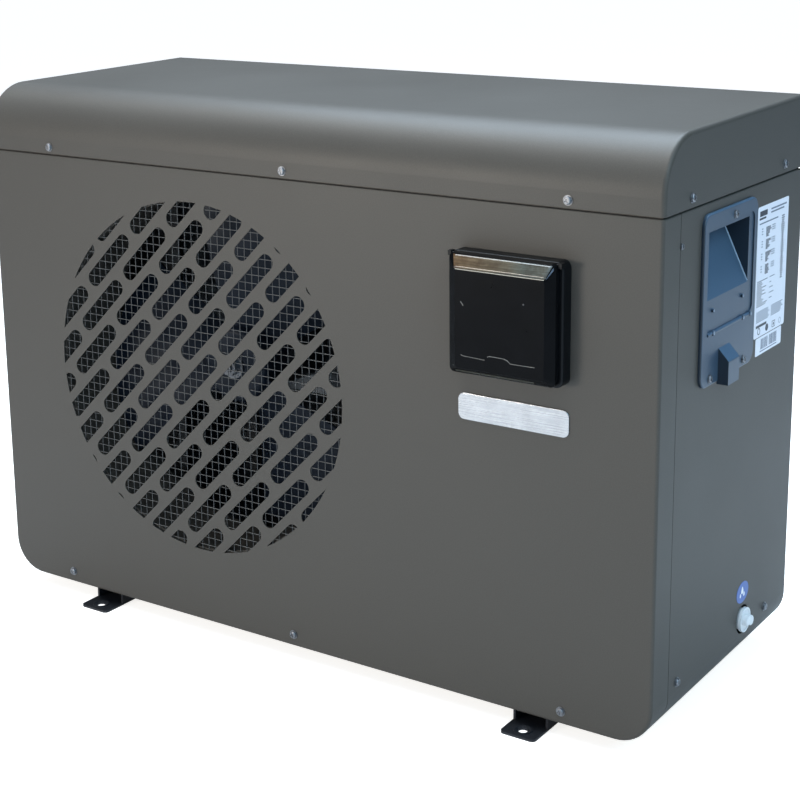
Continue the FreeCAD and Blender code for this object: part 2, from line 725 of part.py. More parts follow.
def build_compressor_bolts():
    start = TRAY_Z + SHEET
    bolts = []
    for x, y in around_compressor():
        stud = rod(4, (x, y, start), "+Z", 48)
        washer = rod(10, (x, y, FOOT_PLATE_Z + 9.1), "+Z", 1.6)
        nut = []
        for corner in range(6):
            angle = math.radians(60 * corner)
            nut.append((x + 7.5 * math.cos(angle), y + 7.5 * math.sin(angle), FOOT_PLATE_Z + 10.7))
        bolts.append(stud.fuse([washer, prism(nut, (0, 0, 6))]))
    return bolts


def build_accumulator():
    can = rod(28, (ACCUMULATOR_X, COMPRESSOR_Y, 130), "+Z", 200)
    can = can.makeFillet(20, [e for e in can.Edges if e.Curve.TypeId == "Part::GeomCircle"])
    strap_x = COMPRESSOR_X + COMPRESSOR_R - 4
    strap = box(strap_x, ACCUMULATOR_X, COMPRESSOR_Y - 12, COMPRESSOR_Y + 12, 220, 223)
    cut = rod(COMPRESSOR_R + 0.3, (COMPRESSOR_X, COMPRESSOR_Y, 200), "+Z", 60)
    return can.fuse(strap).cut(cut)


def build_four_way_valve():
    """Reversing valve: one port on top, three below, solenoid at the front."""
    x, y = COMPRESSOR_X, COMPRESSOR_Y
    body = rod(13, (x, y - 52, VALVE_Z), "+Y", 104)
    body = body.makeFillet(6, [e for e in body.Edges if e.Curve.TypeId == "Part::GeomCircle"])
    ports = [rod(7.5, (x, y, VALVE_Z), "+Z", 20)]
    for shift in (-25, 0, 25):
        ports.append(rod(7.5, (x, y + shift, VALVE_Z - 20), "+Z", 20))
    coil = box(x + 16, x + 50, y - 18, y + 18, VALVE_Z - 14, VALVE_Z + 18)
    stem = rod(6, (x + 8, y, VALVE_Z), "+X", 50)
    return body.fuse(ports + [coil, stem]).removeSplitter()


def build_expansion_valve():
    body = rod(13, (300, 60, 165), "+Z", 34)
    body = body.makeFillet(3, [e for e in body.Edges if e.Curve.TypeId == "Part::GeomCircle"])
    head = rod(18, (300, 60, 199), "+Z", 30)
    return body.fuse([head, rod(8, (286, 60, 185), "+X", 10)]).removeSplitter()


def build_pipes():
    x, y = COMPRESSOR_X, COMPRESSOR_Y
    low = VALVE_Z - 20.1
    discharge = [(x - 34, y, COMPRESSOR_Z1 + 0.1), (x - 34, y, 452), (x, y, 452), (x, y, VALVE_Z + 20.1)]
    suction = [(x, y, low), (x, y, 362), (ACCUMULATOR_X, y, 362), (ACCUMULATOR_X, y, 330.1)]
    return_leg = [(ACCUMULATOR_X, y, 129.9), (ACCUMULATOR_X, y, 100), (x + COMPRESSOR_R + 0.1, y, 100)]
    water_gas = [(x, y + 25, low), (x, y + 25, 350), (EXCHANGER_X, y + 25, 350), (EXCHANGER_X, 9.8, 350)]
    coil_gas = [
        (x, y - 25, low),
        (x, y - 25, 362),
        (172, y - 25, 362),
        (172, 100, 362),
        (256, 100, 372),
        (256, COIL_Y_NEAR, 372),
        (221.1, COIL_Y_NEAR, 372),
    ]
    water_liquid = [
        (EXCHANGER_X, 9.8, 120),
        (EXCHANGER_X, -12, 120),
        (300, -12, 120),
        (300, 60, 120),
        (300, 60, 164.9),
    ]
    coil_liquid = [(285.9, 60, 185), (262, 60, 185), (262, 138, 185), (212.1, 138, 185)]
    gas = [bent_pipe(p, 6.35, 12) for p in (discharge, suction, return_leg, water_gas, coil_gas)]
    liquid = [bent_pipe(p, 4.8, 10) for p in (water_liquid, coil_liquid)]
    return gas + liquid


# --- Water side ---------------------------------------------------------------------------------------


def build_exchanger():
    x, y = EXCHANGER_X, EXCHANGER_Y
    shell = rod(EXCHANGER_R, (x, y, 40), "+Z", 430)
    shell = shell.makeFillet(26, [e for e in shell.Edges if e.Curve.TypeId == "Part::GeomCircle"])
    foot = rod(48, (x, y, TRAY_Z + SHEET), "+Z", 20)
    seam = rod(EXCHANGER_R + 3, (x, y, 390), "+Z", 14)
    body = shell.fuse([foot, seam])
    for z in (INLET_Z, OUTLET_Z):
        body = body.fuse(rod(31, (x, y, z), "+Y", EXCHANGER_R + 6))
    port = rod(11, (x, DRAIN_Y, DRAIN_Z), "+X", 492 - x)
    return body.fuse(port).removeSplitter()


def build_water_stub(z):
    """Fixed half of a union: tube from the exchanger, collar on the panel, threaded neck."""
    x = EXCHANGER_X
    start = EXCHANGER_Y + EXCHANGER_R + 6.1
    body = rod(25, (x, start, z), "+Y", 50)
    body = body.fuse([rod(36, (x, 200.1, z), "+Y", 4), rod(33, (x, 204, z), "+Y", 20)])
    return body.cut(rod(20, (x, start - 5, z), "+Y", 100)).removeSplitter()


def build_union_tail(z):
    """Loose half of the union, with the socket for the pool pipe."""
    x = EXCHANGER_X
    body = rod(32, (x, 224.2, z), "+Y", 5).fuse(rod(29.5, (x, 229, z), "+Y", 41))
    body = body.cut(rod(20, (x, 220, z), "+Y", 60)).cut(rod(25.15, (x, 240, z), "+Y", 40))
    return body.removeSplitter()


def build_union_nut(z):
    """Ribbed ring nut that holds the tail on the neck."""
    x = EXCHANGER_X
    body = rod(40, (x, 205, z), "+Y", 31)
    ribs = []
    for step in range(16):
        rib = box(-2.5, 2.5, 206, 234, 39, 42.5)
        rib.rotate(Vector(0, 0, 0), Vector(0, 1, 0), 22.5 * step)
        rib.translate(Vector(x, 0, z))
        ribs.append(rib)
    body = body.fuse(ribs)
    body = body.cut(rod(33.08, (x, 204, z), "+Y", 25.5)).cut(rod(29.8, (x, 220, z), "+Y", 30))
    return body.removeSplitter()


def build_drain_cap():
    x = HALF_W
    cup = rod(13.5, (x - 10, DRAIN_Y, DRAIN_Z), "+X", 12)
    cup = cup.cut(rod(11.06, (x - 11, DRAIN_Y, DRAIN_Z), "+X", 8))
    disc = rod(15.6, (x + 0.8, DRAIN_Y, DRAIN_Z), "+X", 3)
    rim = ring(15.6, 13.4, (x + 3.5, DRAIN_Y, DRAIN_Z), "+X", 1.2)
    lobes = []
    for side in (-1, 1):
        lobe = rod(6.4, (x + 3, DRAIN_Y + side * 5.5, DRAIN_Z - side * 1.5), "+X", 8)
        lobes.append(lobe.makeFillet(2, flat_edges(lobe, lambda p: p.x > x + 10)))
    web = box(x + 3, x + 9, DRAIN_Y - 6, DRAIN_Y + 6, DRAIN_Z - 4, DRAIN_Z + 4)
    return cup.fuse([disc, rim, web] + lobes).removeSplitter()


# --- Lift handles -------------------------------------------------------------------------------------


def build_handle(with_hood):
    x = HANDLE_X
    outer_x = x + HANDLE_THICK
    plate = rounded_box(x, outer_x, HANDLE_Y0, HANDLE_Y1, HANDLE_Z0, HANDLE_Z1, HANDLE_R, "X")
    plate = plate.makeFillet(2.0, flat_edges(plate, lambda p: p.x > outer_x - 0.1))
    shell = [
        (x + 0.5, -90.5, 507),
        (x - 36.8, -90.5, 590),
        (x - 36.8, -90.5, 611.8),
        (x + 0.5, -90.5, 611.8),
    ]
    hollow = [
        (outer_x + 1, -87.5, 514),
        (x - 34, -87.5, 596),
        (x - 34, -87.5, 609),
        (x - 1, -87.5, 609),
        (x - 1, -87.5, 597),
        (outer_x + 1, -87.5, 597),
    ]
    body = plate.fuse(prism(shell, (0, 120.5, 0))).cut(prism(hollow, (0, 114.5, 0)))
    dish = rounded_box(outer_x - 1.6, outer_x + 5, -93, 40, 482, 602, 9, "X")
    rib = rod(1.8, (outer_x - 0.4, -88, 480), "+Y", 124)
    studs = [rod(3.0, (outer_x - 0.5, y, 480), "+X", 2.4) for y in (-73, 12, 34)]
    studs += [rod(2.4, (outer_x - 2.0, y, 506), "+X", 2.8) for y in (-73, 11)]
    body = body.cut(dish).fuse([rib] + studs)
    if with_hood:
        hood_side = [
            (outer_x - 1, -55, 459),
            (outer_x + 13, -55, 444),
            (outer_x + 13, -55, 416),
            (outer_x - 1, -55, 416),
        ]
        hood = prism(hood_side, (0, 31, 0))
        hood = hood.makeFillet(3.0, flat_edges(hood, lambda p: p.x > outer_x + 5 and p.z > 420))
        room_side = [
            (outer_x, -53, 455),
            (outer_x + 11, -53, 443),
            (outer_x + 11, -53, 410),
            (outer_x, -53, 410),
        ]
        room = prism(room_side, (0, 27, 0))
        body = body.fuse(hood).cut(room)
        body = body.cut(rod(11.9, (x - 5, -39.5, 432), "+X", 12))
    holes = [((outer_x, y, z), direction) for (hx, y, z), direction in handle_screws]
    return drill(body.removeSplitter(), holes)


def build_grommet():
    """Rubber ring that guides the supply cable out under the hood."""
    x, y, z = HALF_W, -39.5, 432
    sleeve = rod(11.8, (x - 4, y, z), "+X", 11)
    inner_lip = rod(15, (x - 4, y, z), "+X", 2.6)
    outer_lip = rod(12.8, (x + 4.1, y, z), "+X", 3)
    body = sleeve.fuse([inner_lip, outer_lip])
    return body.cut(rod(5, (x - 10, y, z), "+X", 30)).removeSplitter()


# --- Control box --------------------------------------------------------------------------------------


def build_control_housing():
    front = FRONT_Y - CONTROL_DEPTH
    body = rounded_box(CONTROL_X0, CONTROL_X1, front, FRONT_Y, CONTROL_Z0, CONTROL_Z1, 9, "Y")
    body = body.makeFillet(2.5, flat_edges(body, lambda p: p.y < front + 0.1))
    well = rounded_box(
        CONTROL_X0 + 8, CONTROL_X1 - 8, front - 5, FRONT_Y - 4, CONTROL_Z0 + 8, CONTROL_Z1 - 9, 5, "Y"
    )
    body = body.cut(well)
    body = body.cut(box(305, 335, FRONT_Y - 6, FRONT_Y + 1, 485, 515))
    for x0, x1 in ((CONTROL_X0, COVER_X0 - 0.3), (COVER_X1 + 0.3, CONTROL_X1)):
        ear = box(x0, x1, front - 5.2, front + 3, COVER_HINGE_Z - 3, COVER_HINGE_Z + 2.6)
        body = body.fuse(ear)
    axis_y = front - 2.4
    for x, way in ((COVER_X0 - 1, "+X"), (COVER_X1 + 1, "-X")):
        body = body.fuse(rod(1.4, (x, axis_y, COVER_HINGE_Z), way, 4))
    return body.removeSplitter()


def build_control_cover():
    """Flip-up cover, closed. Its rear top edge is rounded about the hinge axis."""
    back = FRONT_Y - CONTROL_DEPTH - 0.2
    axis_y = back - COVER_HINGE_R
    top = COVER_HINGE_Z + COVER_HINGE_R
    body = box(COVER_X0, COVER_X1, COVER_FRONT_Y, back, COVER_Z0, top)
    low_edges = [e for e in body.Edges if e.BoundBox.YLength > 10 and e.BoundBox.ZMax < COVER_Z0 + 1]
    body = body.makeFillet(6, low_edges)
    hinge_edge = flat_edges(body, lambda p: p.y > back - 0.1 and p.z > top - 0.1)
    body = body.makeFillet(COVER_HINGE_R - 0.01, hinge_edge)
    bevel = [
        (COVER_X0 - 5, COVER_FRONT_Y - 1, top - 16),
        (COVER_X0 - 5, COVER_FRONT_Y - 1, top + 1),
        (COVER_X0 - 5, COVER_FRONT_Y + 7.5, top + 1),
    ]
    body = body.cut(prism(bevel, (150, 0, 0)))
    low_bevel = [
        (COVER_X0 - 5, COVER_FRONT_Y - 1, COVER_Z0 + 9),
        (COVER_X0 - 5, COVER_FRONT_Y - 1, COVER_Z0 - 1),
        (COVER_X0 - 5, COVER_FRONT_Y + 7, COVER_Z0 - 1),
    ]
    body = body.cut(prism(low_bevel, (150, 0, 0)))
    side_bevel = [
        (COVER_X1 - 8, COVER_FRONT_Y - 1, COVER_Z0 - 5),
        (COVER_X1 + 1, COVER_FRONT_Y - 1, COVER_Z0 - 5),
        (COVER_X1 + 1, COVER_FRONT_Y + 8, COVER_Z0 - 5),
    ]
    body = body.cut(prism(side_bevel, (0, 0, 160)))
    left_bevel = [
        (COVER_X0 + 7, COVER_FRONT_Y - 1, COVER_Z0 - 5),
        (COVER_X0 - 1, COVER_FRONT_Y - 1, COVER_Z0 - 5),
        (COVER_X0 - 1, COVER_FRONT_Y + 7, COVER_Z0 - 5),
    ]
    body = body.cut(prism(left_bevel, (0, 0, 160)))
    room = box(COVER_X0 + 2.5, COVER_X1 - 2.5, COVER_FRONT_Y + 9, back + 2, COVER_Z0 + 3, top - 5.2)
    body = body.cut(room)
    for x, way in ((COVER_X0 - 1, "+X"), (COVER_X1 + 1, "-X")):
        body = body.cut(rod(1.46, (x, axis_y, COVER_HINGE_Z), way, 5))
    latch = box(303, 322, COVER_FRONT_Y - 1, COVER_FRONT_Y + 1.2, COVER_Z0 + 12, COVER_Z0 + 17)
    return body.cut(latch).removeSplitter()


def build_display():
    frame = rounded_box(268, 372, -208, FRONT_Y - 4.1, 498, 560, 4, "Y")
    lens = rounded_box(276, 364, -209.5, -205, 506, 552, 3, "Y")
    return frame.fuse(lens).removeSplitter()


def build_keypad():
    plate = rounded_box(262, 378, -208, FRONT_Y - 4.1, 448, 490, 4, "Y")
    for x in BUTTON_X:
        plate = plate.cut(rod(7.3, (x, -215, BUTTON_Z), "+Y", 13))
    return plate


def build_button(x):
    button = rod(7.0, (x, -211, BUTTON_Z), "+Y", 5.2)
    return button.makeFillet(1.0, flat_edges(button, lambda p: p.y < -210))


# --- Electrical tray ----------------------------------------------------------------------------------


def build_electrical_tray():
    outside = box(146, 450, -165, 60, 500, 560)
    inside = box(146 + SHEET, 450 - SHEET, -165 + SHEET, 60 - SHEET, 500 + SHEET, 570)
    tray = outside.cut(inside)
    hanger = box(146, 450, -178, -165 + SHEET, 558.8, 560)
    return tray.fuse(hanger)


def build_circuit_board():
    board = box(160, 330, -150, -10, 508, 509.6)
    parts = [
        box(172, 206, -140, -106, 509.6, 538),
        box(215, 245, -138, -112, 509.6, 526),
        rod(9, (262, -120, 509.6), "+Z", 24),
        rod(9, (285, -120, 509.6), "+Z", 24),
        box(175, 235, -60, -30, 509.6, 518),
    ]
    for step in range(4):
        parts.append(box(250 + 18 * step, 264 + 18 * step, -40, -22, 509.6, 525))
    for x in (166, 324):
        for y in (-144, -16):
            parts.append(rod(3, (x, y, 501.25), "+Z", 6.75))
    return board.fuse(parts).removeSplitter()


def build_contactor():
    base = box(345, 395, -150, -85, 501.3, 540)
    top = box(352, 388, -143, -92, 540, 556)
    return base.fuse(top).removeSplitter()


def build_terminal_block():
    body = box(404, 440, -120, 40, 501.3, 520)
    slots = [box(400, 422, -116 + 26 * i, -98 + 26 * i, 512, 525) for i in range(6)]
    return body.cut(Part.makeCompound(slots))


def build_capacitor():
    can = rod(20, (370, -60, 501.3 + 20), "+Y", 80)
    return can.makeFillet(2, [e for e in can.Edges if e.Curve.TypeId == "Part::GeomCircle"])


# --- Feet ---------------------------------------------------------------------------------------------


def build_foot(x):
    """Channel under the cabinet with flat ends that bolt to the ground."""
    half = FOOT_WIDTH / 2
    end = FOOT_LENGTH / 2
    plate = rounded_box(x - half, x + half, -end, end, 0, FOOT_THICK, 6, "Z")
    shapes = []
    for side in (-1, 1):
        wall_x = x + side * (half - 1.5)
        shapes.append(box(wall_x - 1.5, wall_x + 1.5, -184, 184, 0, BASE_Z))
    for y in (-150, 150):
        shapes.append(box(x - half, x + half, y - 16, y + 16, BASE_Z - 3, BASE_Z))
    for y in (-FOOT_Y, FOOT_Y):
        shapes.append(rod(11.5, (x, y, 0), "+Z", FOOT_THICK + 1.2))
    body = plate.fuse(shapes)
    for y in (-FOOT_Y, FOOT_Y):
        body = body.cut(rod(FOOT_HOLE_R, (x, y, -5), "+Z", 20))
        dish = Part.makeCone(9.5, FOOT_HOLE_R, 1.8, Vector(x, y, FOOT_THICK + 1.21), AXES["-Z"])
        body = body.cut(dish)
    for y in (-150, 150):
        body = body.cut(rod(4.2, (x, y, 10), "+Z", 30))
    return body.removeSplitter()


def build_foot_bolts():
    bolts = []
    for x in (-FOOT_X, FOOT_X):
        for y in (-150, 150):
            head_z = BASE_Z - 3 - 5.5
            points = []
            for i in range(6):
                angle = math.radians(60 * i)
                points.append((x + 7.5 * math.cos(angle), y + 7.5 * math.sin(angle), head_z))
            bolts.append(prism(points, (0, 0, 5.5)).fuse(rod(4, (x, y, head_z), "+Z", 24)))
    return bolts


# --- Labels and badge ---------------------------------------------------------------------------------


def build_oval_label():
    label = Part.makeCylinder(1.0, 0.25, Vector(0, 0, 0), AXES["+X"])
    matrix = FreeCAD.Matrix()
    matrix.scale(1.0, 18.5, 13.5)
    label = label.transformGeometry(matrix)
    label.translate(Vector(HALF_W + 0.02, 55.5, 120.5))
    return label


def build_badge():
    """Plain bright bar below the control box."""
    bar = rounded_box(248, 392, FRONT_Y - 1.6, FRONT_Y, 372, 404, 8, "Y")
    return bar.makeFillet(0.7, flat_edges(bar, lambda p: p.y < FRONT_Y - 1.5))


# --- Nodes --------------------------------------------------------------------------------------------

save("wrap_panel", build_wrap())
save("front_panel", build_front_panel())
save("lid", build_lid())
save("drip_tray", build_tray())
save("divider_plate", build_divider())
save("rear_panel", build_rear_panel())
save("rear_guard", build_rear_guard())
save("guard_mesh", build_mesh())
save("fan_shroud", build_shroud())

save("fan_rotor", build_rotor())
save("fan_nut", build_fan_nut())
save("fan_shaft", rod(SHAFT_R, (FAN_X, HUB_FRONT_Y - 14, FAN_Z), "+Y", 130))
save("fan_motor", build_motor())
save("motor_bracket", build_motor_bracket())
save("motor_bolts", build_motor_bolts())

save("coil_fins", build_fins())
save("coil_end_plates", build_end_plates())
gas, gas_stubs, liquid, liquid_stubs = build_headers()
save("coil_tubes", build_coil_tubes())
save("coil_headers", [gas.fuse(gas_stubs).removeSplitter(), liquid.fuse(liquid_stubs).removeSplitter()])
save("compressor", build_compressor())
save("compressor_grommets", build_grommets())
save("compressor_bolts", build_compressor_bolts())
save("accumulator", build_accumulator())
save("four_way_valve", build_four_way_valve())
save("expansion_valve", build_expansion_valve())
save("refrigerant_pipes", build_pipes())

save("water_exchanger", build_exchanger())
for name, z in (("inlet", INLET_Z), ("outlet", OUTLET_Z)):
    save(name + "_stub", build_water_stub(z))
    save(name + "_tail", build_union_tail(z))
    save(name + "_nut", build_union_nut(z))
save("drain_cap", build_drain_cap())

save("right_handle", build_handle(True))
save("left_handle", mirrored(build_handle(False)))
save("cable_grommet", build_grommet())

save("control_housing", build_control_housing())
save("control_cover", build_control_cover())
save("control_display", build_display())
save("control_keypad", build_keypad())
for number, x in enumerate(BUTTON_X, 1):
    save("button_" + str(number), build_button(x))

save("electrical_tray", build_electrical_tray())
save("circuit_board", build_circuit_board())
save("contactor", build_contactor())
save("terminal_block", build_terminal_block())
save("capacitor", build_capacitor())

save("left_foot", build_foot(-FOOT_X))
save("right_foot", build_foot(FOOT_X))
save("foot_bolts", build_foot_bolts())

all_screws = lid_screws + front_screws + side_screws + guard_screws + rear_screws
save("casing_screws", [screw(*place) for place in all_screws])
save("side_rivets", [screw(*place, 3.0, 1.2, 1.8, 4.0, 3.6) for place in side_rivets])
save("handle_screws", [screw(*place, 4.2, 2.4, 1.8, 3.0, 5.0) for place in left_and_right(handle_screws)])

save("rating_label", rounded_box(HALF_W + 0.02, HALF_W + 0.27, 59, 156, 441, 601, 3, "X"))
save("serial_label", rounded_box(HALF_W + 0.02, HALF_W + 0.27, 66, 148, 418, 440, 2, "X"))
save("drain_label", build_oval_label())
save("front_badge", build_badge())
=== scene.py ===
import bpy, bmesh, json, math, random
from mathutils import Matrix, Vector


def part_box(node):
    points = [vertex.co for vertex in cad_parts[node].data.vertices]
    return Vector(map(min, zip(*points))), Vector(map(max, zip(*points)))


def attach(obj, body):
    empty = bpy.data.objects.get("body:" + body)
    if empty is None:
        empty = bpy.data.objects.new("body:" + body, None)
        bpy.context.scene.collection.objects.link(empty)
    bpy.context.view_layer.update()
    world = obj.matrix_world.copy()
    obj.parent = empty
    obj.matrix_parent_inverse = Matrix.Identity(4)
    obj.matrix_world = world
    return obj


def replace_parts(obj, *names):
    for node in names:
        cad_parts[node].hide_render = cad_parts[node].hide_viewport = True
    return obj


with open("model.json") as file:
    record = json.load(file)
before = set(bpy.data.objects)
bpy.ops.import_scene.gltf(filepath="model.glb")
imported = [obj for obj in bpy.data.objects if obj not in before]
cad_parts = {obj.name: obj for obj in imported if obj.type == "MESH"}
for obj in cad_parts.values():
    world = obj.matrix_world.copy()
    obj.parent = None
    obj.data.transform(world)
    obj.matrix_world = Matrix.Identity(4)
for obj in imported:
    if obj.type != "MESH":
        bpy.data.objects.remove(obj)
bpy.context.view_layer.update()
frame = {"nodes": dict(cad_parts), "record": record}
nodes = frame["nodes"]
scene = bpy.context.scene
MM = 0.001


def box_mm(name):
    """Low and high corner of a node's box, in millimetres."""
    return [[c / MM for c in corner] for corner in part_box(name)]


# ---------------------------------------------------------------- material helpers
NOISE_LOW, NOISE_HIGH = 0.3, 0.7  # most of a noise pattern's values lie between these


def grey(v):
    return (v, v, v)


WHITE = grey(1.0)


def scaled(colour, factor):
    return tuple(min(1.0, c * factor) for c in colour)


def new_material(name):
    m = bpy.data.materials.new(name)
    m.use_nodes = True
    nt = m.node_tree
    return m, nt, nt.nodes["Principled BSDF"]


def node(nt, kind, **values):
    """New shader node; a value named in_Some_Input sets that input, any other sets a property."""
    n = nt.nodes.new(kind)
    for key, value in values.items():
        if key.startswith("in_"):
            n.inputs[key[3:].replace("_", " ")].default_value = value
        else:
            setattr(n, key, value)
    return n


def object_place(nt):
    return nt.nodes.new("ShaderNodeTexCoord").outputs["Object"]


def xyz(nt, vector):
    sep = nt.nodes.new("ShaderNodeSeparateXYZ")
    nt.links.new(vector, sep.inputs[0])
    return sep.outputs


def stretched(nt, vector, scale):
    mapping = node(nt, "ShaderNodeMapping", in_Scale=scale)
    nt.links.new(vector, mapping.inputs["Vector"])
    return mapping.outputs["Vector"]


def noise(nt, coords, scale, detail=4.0, rough=0.5):
    n = node(nt, "ShaderNodeTexNoise", in_Scale=scale, in_Detail=detail, in_Roughness=rough)
    nt.links.new(coords, n.inputs["Vector"])
    return n.outputs["Fac"]


def ramp(nt, fac, stops):
    n = nt.nodes.new("ShaderNodeValToRGB")
    elements = n.color_ramp.elements
    while len(elements) < len(stops):
        elements.new(0.5)
    for element, (position, colour) in zip(elements, stops):
        element.position = position
        element.color = (*colour, 1.0)
    nt.links.new(fac, n.inputs["Fac"])
    return n.outputs["Color"]


def noise_ramp(nt, fac, low, high):
    return ramp(nt, fac, [(NOISE_LOW, low), (NOISE_HIGH, high)])


def mul(nt, a, b):
    n = node(nt, "ShaderNodeMix", data_type="RGBA", blend_type="MULTIPLY")
    n.inputs[0].default_value = 1.0
    nt.links.new(a, n.inputs[6])
    nt.links.new(b, n.inputs[7])
    return n.outputs[2]


def math_node(nt, operation, *values):
    """One math step; each value is a number or the output of another node."""
    n = node(nt, "ShaderNodeMath", operation=operation)
    for sock, value in zip(n.inputs, values):
        if isinstance(value, (int, float)):
            sock.default_value = value
        else:
            nt.links.new(value, sock)
    return n.outputs[0]


def bump(nt, bsdf, height, strength, distance):
    n = node(nt, "ShaderNodeBump", in_Strength=strength, in_Distance=distance)
    nt.links.new(height, n.inputs["Height"])
    nt.links.new(n.outputs["Normal"], bsdf.inputs["Normal"])


def surface(name, base, rough=0.5, metal=0.0, grain=900.0, grain_depth=0.00008, strength=0.35,
            shade=0.06, broad=4.0, broad_shade=0.05, rough_spread=0.06, coat=0.0, spec=0.5):
    """Solid coloured surface with fine grain, slow colour drift and a broken-up gloss."""
    m, nt, bsdf = new_material(name)
    place = object_place(nt)
    fine = noise(nt, place, grain, 3.0, 0.6)
    slow = noise(nt, place, broad, 4.0, 0.55)
    colour = noise_ramp(nt, fine, scaled(base, 1 - shade), scaled(base, 1 + shade))
    drift = noise_ramp(nt, slow, grey(1 - broad_shade), WHITE)
    nt.links.new(mul(nt, colour, drift), bsdf.inputs["Base Color"])
    smooth, dull = max(0.02, rough - rough_spread), min(1, rough + rough_spread)
    nt.links.new(noise_ramp(nt, slow, grey(smooth), grey(dull)), bsdf.inputs["Roughness"])
    bsdf.inputs["Metallic"].default_value = metal
    bsdf.inputs["Coat Weight"].default_value = coat
    bsdf.inputs["Specular IOR Level"].default_value = spec
    bump(nt, bsdf, fine, strength, grain_depth)
    return m


def brushed(name, base, rough, scale=(40, 40, 1500)):
    """Metal with fine drawn lines that run across the axis with the largest scale."""
    m, nt, bsdf = new_material(name)
    place = object_place(nt)
    lines = noise(nt, stretched(nt, place, scale), 1.0, 5.0, 0.6)
    spots = noise(nt, place, 60.0, 4.0, 0.6)
    colour = noise_ramp(nt, lines, scaled(base, 0.82), base)
    blot = ramp(nt, spots, [(0.35, grey(0.86)), (0.7, WHITE)])
    nt.links.new(mul(nt, colour, blot), bsdf.inputs["Base Color"])
    gloss = noise_ramp(nt, lines, grey(rough - 0.07), grey(rough + 0.1))
    nt.links.new(gloss, bsdf.inputs["Roughness"])
    bsdf.inputs["Metallic"].default_value = 1.0
    bump(nt, bsdf, lines, 0.3, 0.00003)
    return m


def galvanised(name, base):
    """Zinc sheet with its crystal pattern."""
    m, nt, bsdf = new_material(name)
    place = object_place(nt)
    cells = node(nt, "ShaderNodeTexVoronoi", in_Scale=70.0)
    nt.links.new(place, cells.inputs["Vector"])
    crystal = nt.nodes.new("ShaderNodeRGBToBW")
    nt.links.new(cells.outputs["Color"], crystal.inputs[0])
    tone = crystal.outputs[0]
    nt.links.new(ramp(nt, tone, [(0.1, scaled(base, 0.7)), (0.9, base)]), bsdf.inputs["Base Color"])
    nt.links.new(ramp(nt, tone, [(0.0, grey(0.3)), (1.0, grey(0.5))]), bsdf.inputs["Roughness"])
    bsdf.inputs["Metallic"].default_value = 0.9
    bump(nt, bsdf, noise(nt, place, 400.0), 0.15, 0.00005)
    return m


def fins(name):
    """Stack of thin aluminium sheets seen edge on, with painted shade in the gaps between them."""
    gap_painted_shade, sheet = (0.012, 0.013, 0.015), (0.32, 0.33, 0.34)
    m, nt, bsdf = new_material(name)
    place = object_place(nt)
    wave = node(nt, "ShaderNodeTexWave", wave_type="BANDS", bands_direction="X", in_Scale=160.0,
                in_Distortion=0.4, in_Detail=2.0)
    nt.links.new(place, wave.inputs["Vector"])
    dents = noise(nt, place, 14.0)
    # painted shade: near-black bands stand for the unlit gaps between the sheets
    colour = ramp(nt, wave.outputs["Fac"], [(0.25, gap_painted_shade), (0.6, sheet)])
    tone = ramp(nt, dents, [(0.35, grey(0.75)), (0.65, WHITE)])
    nt.links.new(mul(nt, colour, tone), bsdf.inputs["Base Color"])
    bsdf.inputs["Metallic"].default_value = 0.8
    bsdf.inputs["Roughness"].default_value = 0.42
    bump(nt, bsdf, wave.outputs["Fac"], 0.8, 0.0008)
    return m


def handle_surface():
    """Blue-grey moulded plastic with painted shade and light: darker on walls that face forward and on all
    that does not face up, and the whole raised by 1.6, so faces that look up show painted light.
    """
    m = surface("handle_plastic", (0.048, 0.083, 0.128), rough=0.36, grain=1400, grain_depth=0.00005,
                shade=0.05)
    nt = m.node_tree
    bsdf = nt.nodes["Principled BSDF"]
    colour = bsdf.inputs["Base Color"].links[0].from_socket
    normal = xyz(nt, nt.nodes.new("ShaderNodeNewGeometry").outputs["Normal"])
    forward = math_node(nt, "MULTIPLY", normal["Y"], -1.0)
    # painted shade: walls that face forward are darkened to about a quarter of the colour
    forward_painted_shade = ramp(nt, forward, [(0.25, WHITE), (0.8, (0.24, 0.26, 0.28))])
    # painted light: faces that look up are raised by the 1.6 gain below, the others stay near 0.83 of the
    # colour
    upward_painted_light = ramp(nt, normal["Z"], [(0.15, grey(0.52)), (0.5, WHITE)])
    painted_light_gain = node(nt, "ShaderNodeVectorMath", operation="SCALE", in_Scale=1.6)
    nt.links.new(mul(nt, mul(nt, colour, forward_painted_shade), upward_painted_light), painted_light_gain.inputs[0])
    nt.links.new(painted_light_gain.outputs[0], bsdf.inputs["Base Color"])
    return m


# ---------------------------------------------------------------- materials
coat_mat = surface("powder_coat", (0.0715, 0.0655, 0.0575), rough=0.46, metal=0.13, grain=700,
                   grain_depth=0.0001, shade=0.1, broad=3.0, rough_spread=0.04, spec=0.24)
handle_mat = handle_surface()
black_mat = surface("black_plastic", (0.003, 0.0035, 0.0045), rough=0.34, grain=1500, grain_depth=0.00004,
                    shade=0.2, spec=0.18)
smoke_mat = surface("smoked_cover", (0.0025, 0.0027, 0.0034), rough=0.2, grain=30, grain_depth=0.00002,
                    strength=0.08, shade=0.25, rough_spread=0.05, spec=0.07)
steel_mat = brushed("zinc_steel", (0.27, 0.28, 0.30), rough=0.36)
wire_mat = surface("mesh_wire", (0.088, 0.09, 0.09), rough=0.45, metal=0.6, grain=500, shade=0.2)
zinc_mat = galvanised("galvanised_sheet", (0.24, 0.25, 0.26))
rotor_mat = surface("fan_plastic", (0.011, 0.017, 0.029), rough=0.42, grain=300, shade=0.08, broad=14,
                    broad_shade=0.25, spec=0.2)
foot_mat = surface("foot_steel", (0.025, 0.027, 0.033), rough=0.4, metal=0.3, grain=500, grain_depth=0.0002,
                   shade=0.3)
guard_mat = surface("guard_coat", (0.02, 0.02, 0.022), rough=0.42, grain=600, shade=0.2)
